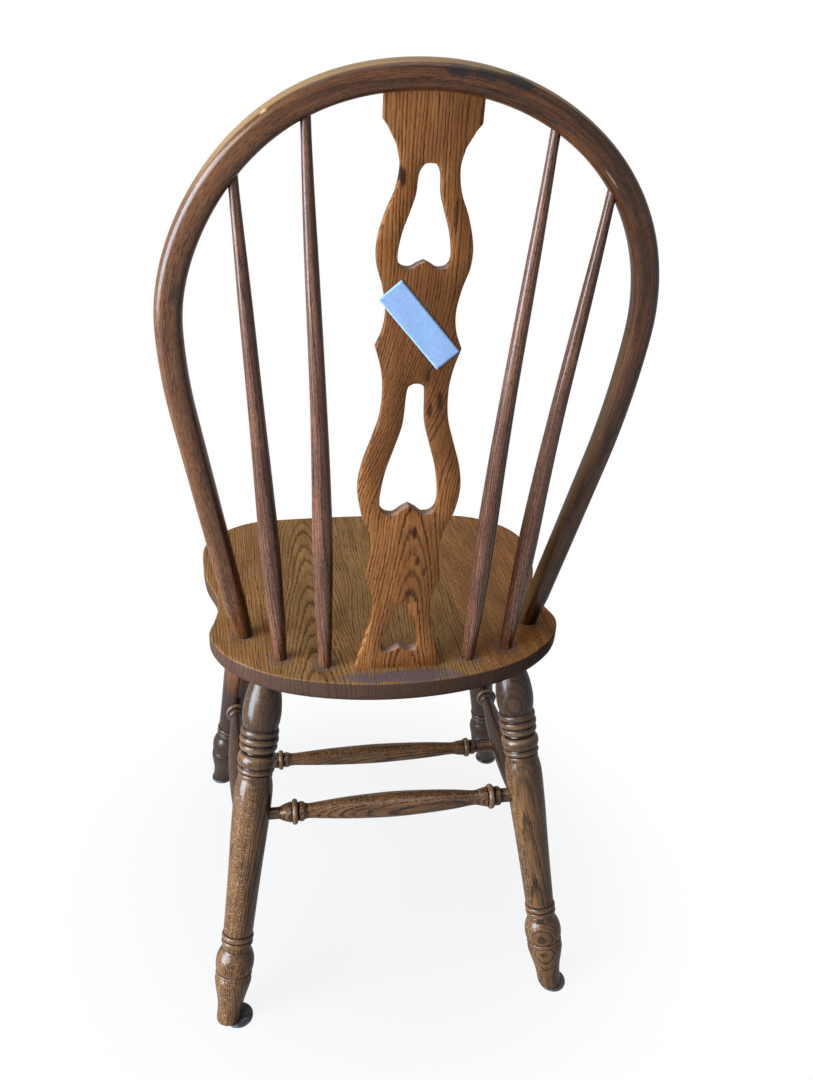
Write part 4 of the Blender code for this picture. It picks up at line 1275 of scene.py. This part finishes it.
def stretcher_profile(length, first_ring, last_ring, tip, scale):
    start = STRETCHER_START_RADIUS * (scale + 1) / 2
    end = STRETCHER_END_RADIUS * (scale + 1) / 2
    ring = STRETCHER_RING_RADIUS * scale
    belly = STRETCHER_BELLY_RADIUS * scale
    neck = end + 0.0003
    far = length - last_ring
    middle = (first_ring + far) / 2
    reach = (far - first_ring) / 2
    flare = [
        (first_ring - 0.0185, start), (first_ring - 0.0120, start + 0.0030),
        (first_ring - 0.0045, 0.80 * ring),
    ]
    profile = [(tip, start - 0.0008), (tip + 0.001, start)]
    profile += densely([(tip + 0.001, start), flare[0]])[1:-1]
    profile += rounded(flare, 5)
    profile += bead(first_ring - 0.0036, 0.0072, 0.74 * ring, ring)
    profile += bead(first_ring + 0.0042, 0.0070, 0.68 * ring, 0.77 * ring)
    swelling = [(first_ring + 0.0122, neck + 0.0006), (first_ring + 0.0190, neck)]
    for share in (0.62, 0.36, 0.0, -0.36, -0.62):
        swell = math.cos(share * math.pi / 2) ** 1.5
        swelling.append((middle - share * reach, neck + (belly - neck) * swell))
    swelling += [(far - 0.0220, neck), (far - 0.0130, neck + 0.0014), (far - 0.0050, 0.80 * ring)]
    profile += densely(rounded(swelling, 6))
    profile += bead(far - 0.0040, 0.0080, 0.74 * ring, ring)
    profile += bead(far + 0.0046, 0.0075, 0.68 * ring, 0.77 * ring)
    profile += densely([(far + 0.0135, end), (length - tip - 0.001, end)])
    profile += [(length - tip, end - 0.0008)]
    return profile


def make_stretcher(number, name, axis, kind, tip, scale=1.0):
    start, end = axis
    profile = stretcher_profile((end - start).length, *STRETCHER_RINGS[kind], tip, scale)
    bm = turned(profile, sides=36)
    place = line_up(start, end)
    remember(bm, other_wood(number), facing(place))
    wood = FOOTED_OAK if kind == "side" else GOLDEN_OAK
    finished("turned_" + name, bm, wood, name, place)


for number, (hand, side) in enumerate(SIDES.items(), 20):
    make_stretcher(number, "side_stretcher_" + hand, side_stretcher_axis(side), "side", TENON_TIP_IN_LEG)
rear_axis = [down_leg("rear", side, REAR_STRETCHER_DROP) for side in (1, -1)]
make_stretcher(22, "rear_stretcher", rear_axis, "rear", TENON_TIP_IN_LEG)
make_stretcher(
    23, "middle_stretcher", middle_stretcher_axis(), "middle", TENON_TIP_IN_STRETCHER,
    MIDDLE_STRETCHER_SCALE,
)

# %% [markdown]
# ## Foot pads
# Round glides are nailed under the feet. Two at the rear have slid: one shows well past its foot.
# They are thin turned discs with a soft edge, black, with grey scuffs and a painted bluish sheen.

# %% Make the pads
PAD_RADIUS = 0.017
PAD_EDGE = 0.0012
PAD_SHIFTS = {"rear_left": -0.0122, "rear_right": -0.0042}
RUBBER_BLACK = colour(0.018, 0.019, 0.022)
RUBBER_SCUFF_AND_SHEEN = colour(0.12, 0.13, 0.15)


def pad_finish():
    mix = new_material("scuffed rubber with painted sheen")
    # grey scuffs with a painted bluish sheen
    scuff_and_sheen = mix.noise(mix.places(), (180.0, 180.0, 180.0), detail=5.0).between(0.45, 0.75)
    rubber = mix.blend(scuff_and_sheen, RUBBER_BLACK, RUBBER_SCUFF_AND_SHEEN)
    mix.give({"Base Color": rubber, "Roughness": 0.38 + scuff_and_sheen * 0.3})
    return mix.made


pad_rubber = pad_finish()
for hand, side in SIDES.items():
    for row, (x, y) in LEG_FEET.items():
        rim = PAD_RADIUS - PAD_EDGE
        corner = [
            (PAD_EDGE * math.sin(step * math.pi / 8), rim + PAD_EDGE * math.cos(step * math.pi / 8))
            for step in range(5)
        ]
        lower = [(PAD_EDGE - rise, out) for rise, out in reversed(corner)]
        upper = [(PAD_THICKNESS - PAD_EDGE + rise, out) for rise, out in corner]
        pad_bm = turned(lower + upper, sides=48)
        remember(pad_bm, (0, 0, 0))
        name = f"{row}_{hand}"
        where = Matrix.Translation((side * x + PAD_SHIFTS.get(name, 0.0), y, 0))
        finished("round_pad_" + name, pad_bm, pad_rubber, "foot_pad_" + name, where)

# %% [markdown]
# ## The label
# Someone has stuck a slip of pale blue paper across the splat, and one corner hangs past the
# wood. It is left blank. A grid lies on the splat's back face and its free corner lifts a little.

# %% Stick on the label
LABEL_WIDTH = 0.0265
LABEL_LENGTH = 0.0860
LABEL_THICKNESS = 0.0002
LABEL_MIDDLE = (0.0007, 0.3934)         # across and up the splat
LABEL_SLOPE = math.radians(48.6)
LABEL_STAND = 0.0005                    # over the wood
LABEL_WAVE = 0.00018                    # how far the paper cockles
LOOSE_CORNER = (0.030, -0.006)          # where the free corner begins, from the label's middle
LOOSE_LIFT = 2.5                        # for each square metre of overhang
PAPER_SHADES = (colour(0.21, 0.33, 0.55), colour(0.25, 0.38, 0.61))


def make_label():
    bm = bmesh.new()
    bmesh.ops.create_grid(bm, x_segments=40, y_segments=14, size=0.5)
    bmesh.ops.scale(bm, verts=bm.verts, vec=(LABEL_LENGTH, LABEL_WIDTH, 1))
    remember(bm, (0, 0, 0))
    for vert in bm.verts:
        x, y, _ = vert.co
        overhang = max(x - LOOSE_CORNER[0], 0.0) * max(y - LOOSE_CORNER[1], 0.0)
        vert.co.z = LABEL_WAVE * math.sin(x * 95) * math.sin(y * 160) + overhang * LOOSE_LIFT
    stand = SPLAT_THICKNESS / 2 + LABEL_STAND
    middle = Matrix.Translation((LABEL_MIDDLE[0], stand, LABEL_MIDDLE[1]))
    upright = middle @ Matrix.Rotation(-math.pi / 2, 4, "X")
    bm.transform(upright @ Matrix.Rotation(-LABEL_SLOPE, 4, "Z"))
    bmesh.ops.recalc_face_normals(bm, faces=bm.faces)
    mix = new_material("blue paper")
    fibre = mix.noise(mix.places(), (400.0, 400.0, 400.0), detail=3.0)
    tone = mix.blend(fibre.between(0.3, 0.7), *PAPER_SHADES)
    mix.give({"Base Color": tone, "Roughness": 0.45 + fibre * 0.2})
    label = finished("blank_label", bm, mix.made, None, SPLAT_PLACE)
    thick = label.modifiers.new("paper", "SOLIDIFY")
    thick.thickness = LABEL_THICKNESS
    thick.offset = 0.0


make_label()
print("label", LABEL_LENGTH, "x", LABEL_WIDTH, "m")

# %% [markdown]
# ## Floor and background
# A mid grey floor takes a soft shadow under the feet. Rays from the camera, from gloss and through
# glass see white instead, on the floor and in the world, because Light Path tells them from the
# rays that light the chair. Near the feet a share of the floor's own shade is left for the camera.

# %% Lay the floor
FLOOR_GREY = colour(0.42, 0.42, 0.42)
FLOOR_SHOWN = 0.15                      # share of its own shade that is left near the chair
FLOOR_SHOWN_WITHIN = (0.20, 0.50)       # metres, where that share begins to fade and is gone
WHITE = colour(1, 1, 1)
ROOM_LIGHT = colour(0.030, 0.031, 0.038)


def seen_rays(mix):
    """1 for rays from the camera, from glossy surfaces and through clear ones."""
    path = mix.node("LightPath").socket.node
    kinds = ("Is Camera Ray", "Is Glossy Ray", "Is Transmission Ray")
    return largest([Wire(mix, path.outputs[kind]) for kind in kinds])


def whiten(mix, share, white, output):
    """Puts white in the place of a recipe's own shader, by share."""
    surface = mix.node("MixShader", {}, (share, Wire(mix, mix.shader.outputs[0]), white))
    mix.fill(mix.tree.nodes[output].inputs["Surface"], surface)


def floor_material():
    mix = new_material("pale floor")
    mix.give({"Base Color": FLOOR_GREY, "Roughness": 0.9, "Specular IOR Level": 0.1})
    white = mix.node("Emission", {}, {"Color": WHITE, "Strength": 1.0})
    away = mix.vector("LENGTH", mix.places(), output="Value").between(*FLOOR_SHOWN_WITHIN)
    share = seen_rays(mix) * (1.0 - FLOOR_SHOWN + away * FLOOR_SHOWN)
    whiten(mix, share, white, "Material Output")
    return mix.made


def light_world():
    mix = Recipe(bpy.data.worlds.new("room"), "Background")
    mix.give({"Color": ROOM_LIGHT})
    white = mix.node("Background", {}, {"Color": WHITE})
    whiten(mix, seen_rays(mix), white, "World Output")
    bpy.context.scene.world = mix.made


floor_bm = bmesh.new()
bmesh.ops.create_grid(floor_bm, x_segments=1, y_segments=1, size=6.0)
floor = in_scene("floor", mesh_from(floor_bm, "floor", floor_material()))
light_world()
print("the floor is", floor.dimensions.x, "m wide")

# %% [markdown]
# ## Light
# The light is a room's: a tall cool window low at the chair's left, a warmer lamp behind it on the
# same side, a soft ceiling, and a weak fill in front that reflections don't show.

# %% Light the room


def lamp(name, place, target, width, height, power, tint):
    made = bpy.data.lights.new(name, "AREA")
    made.shape = "RECTANGLE"
    made.size = width
    made.size_y = height
    made.energy = power
    made.color = tint
    holder = in_scene(name, made)
    aim(holder, place, target)
    return holder


lamp("window", (1.9, 0.75, 0.88), (0, 0.05, 0.60), 1.1, 1.7, 150.0, (0.70, 0.84, 1.0))
lamp("key", (2.0, 2.1, 1.5), (0, 0.1, 0.6), 0.8, 1.0, 40.0, (1.0, 0.93, 0.84))
lamp("ceiling", (0.1, 0.4, 2.5), (0, 0, 0.4), 1.8, 1.8, 20.0, (1.0, 0.95, 0.88))
lamp("front_fill", (0.1, -1.5, 2.3), (0, 0, 0.4), 1.6, 1.4, 8.0, (1.0, 0.96, 0.90)).visible_glossy = False
bpy.context.scene.view_settings.view_transform = "Standard"
print("the room has", len(bpy.data.lights), "lamps")
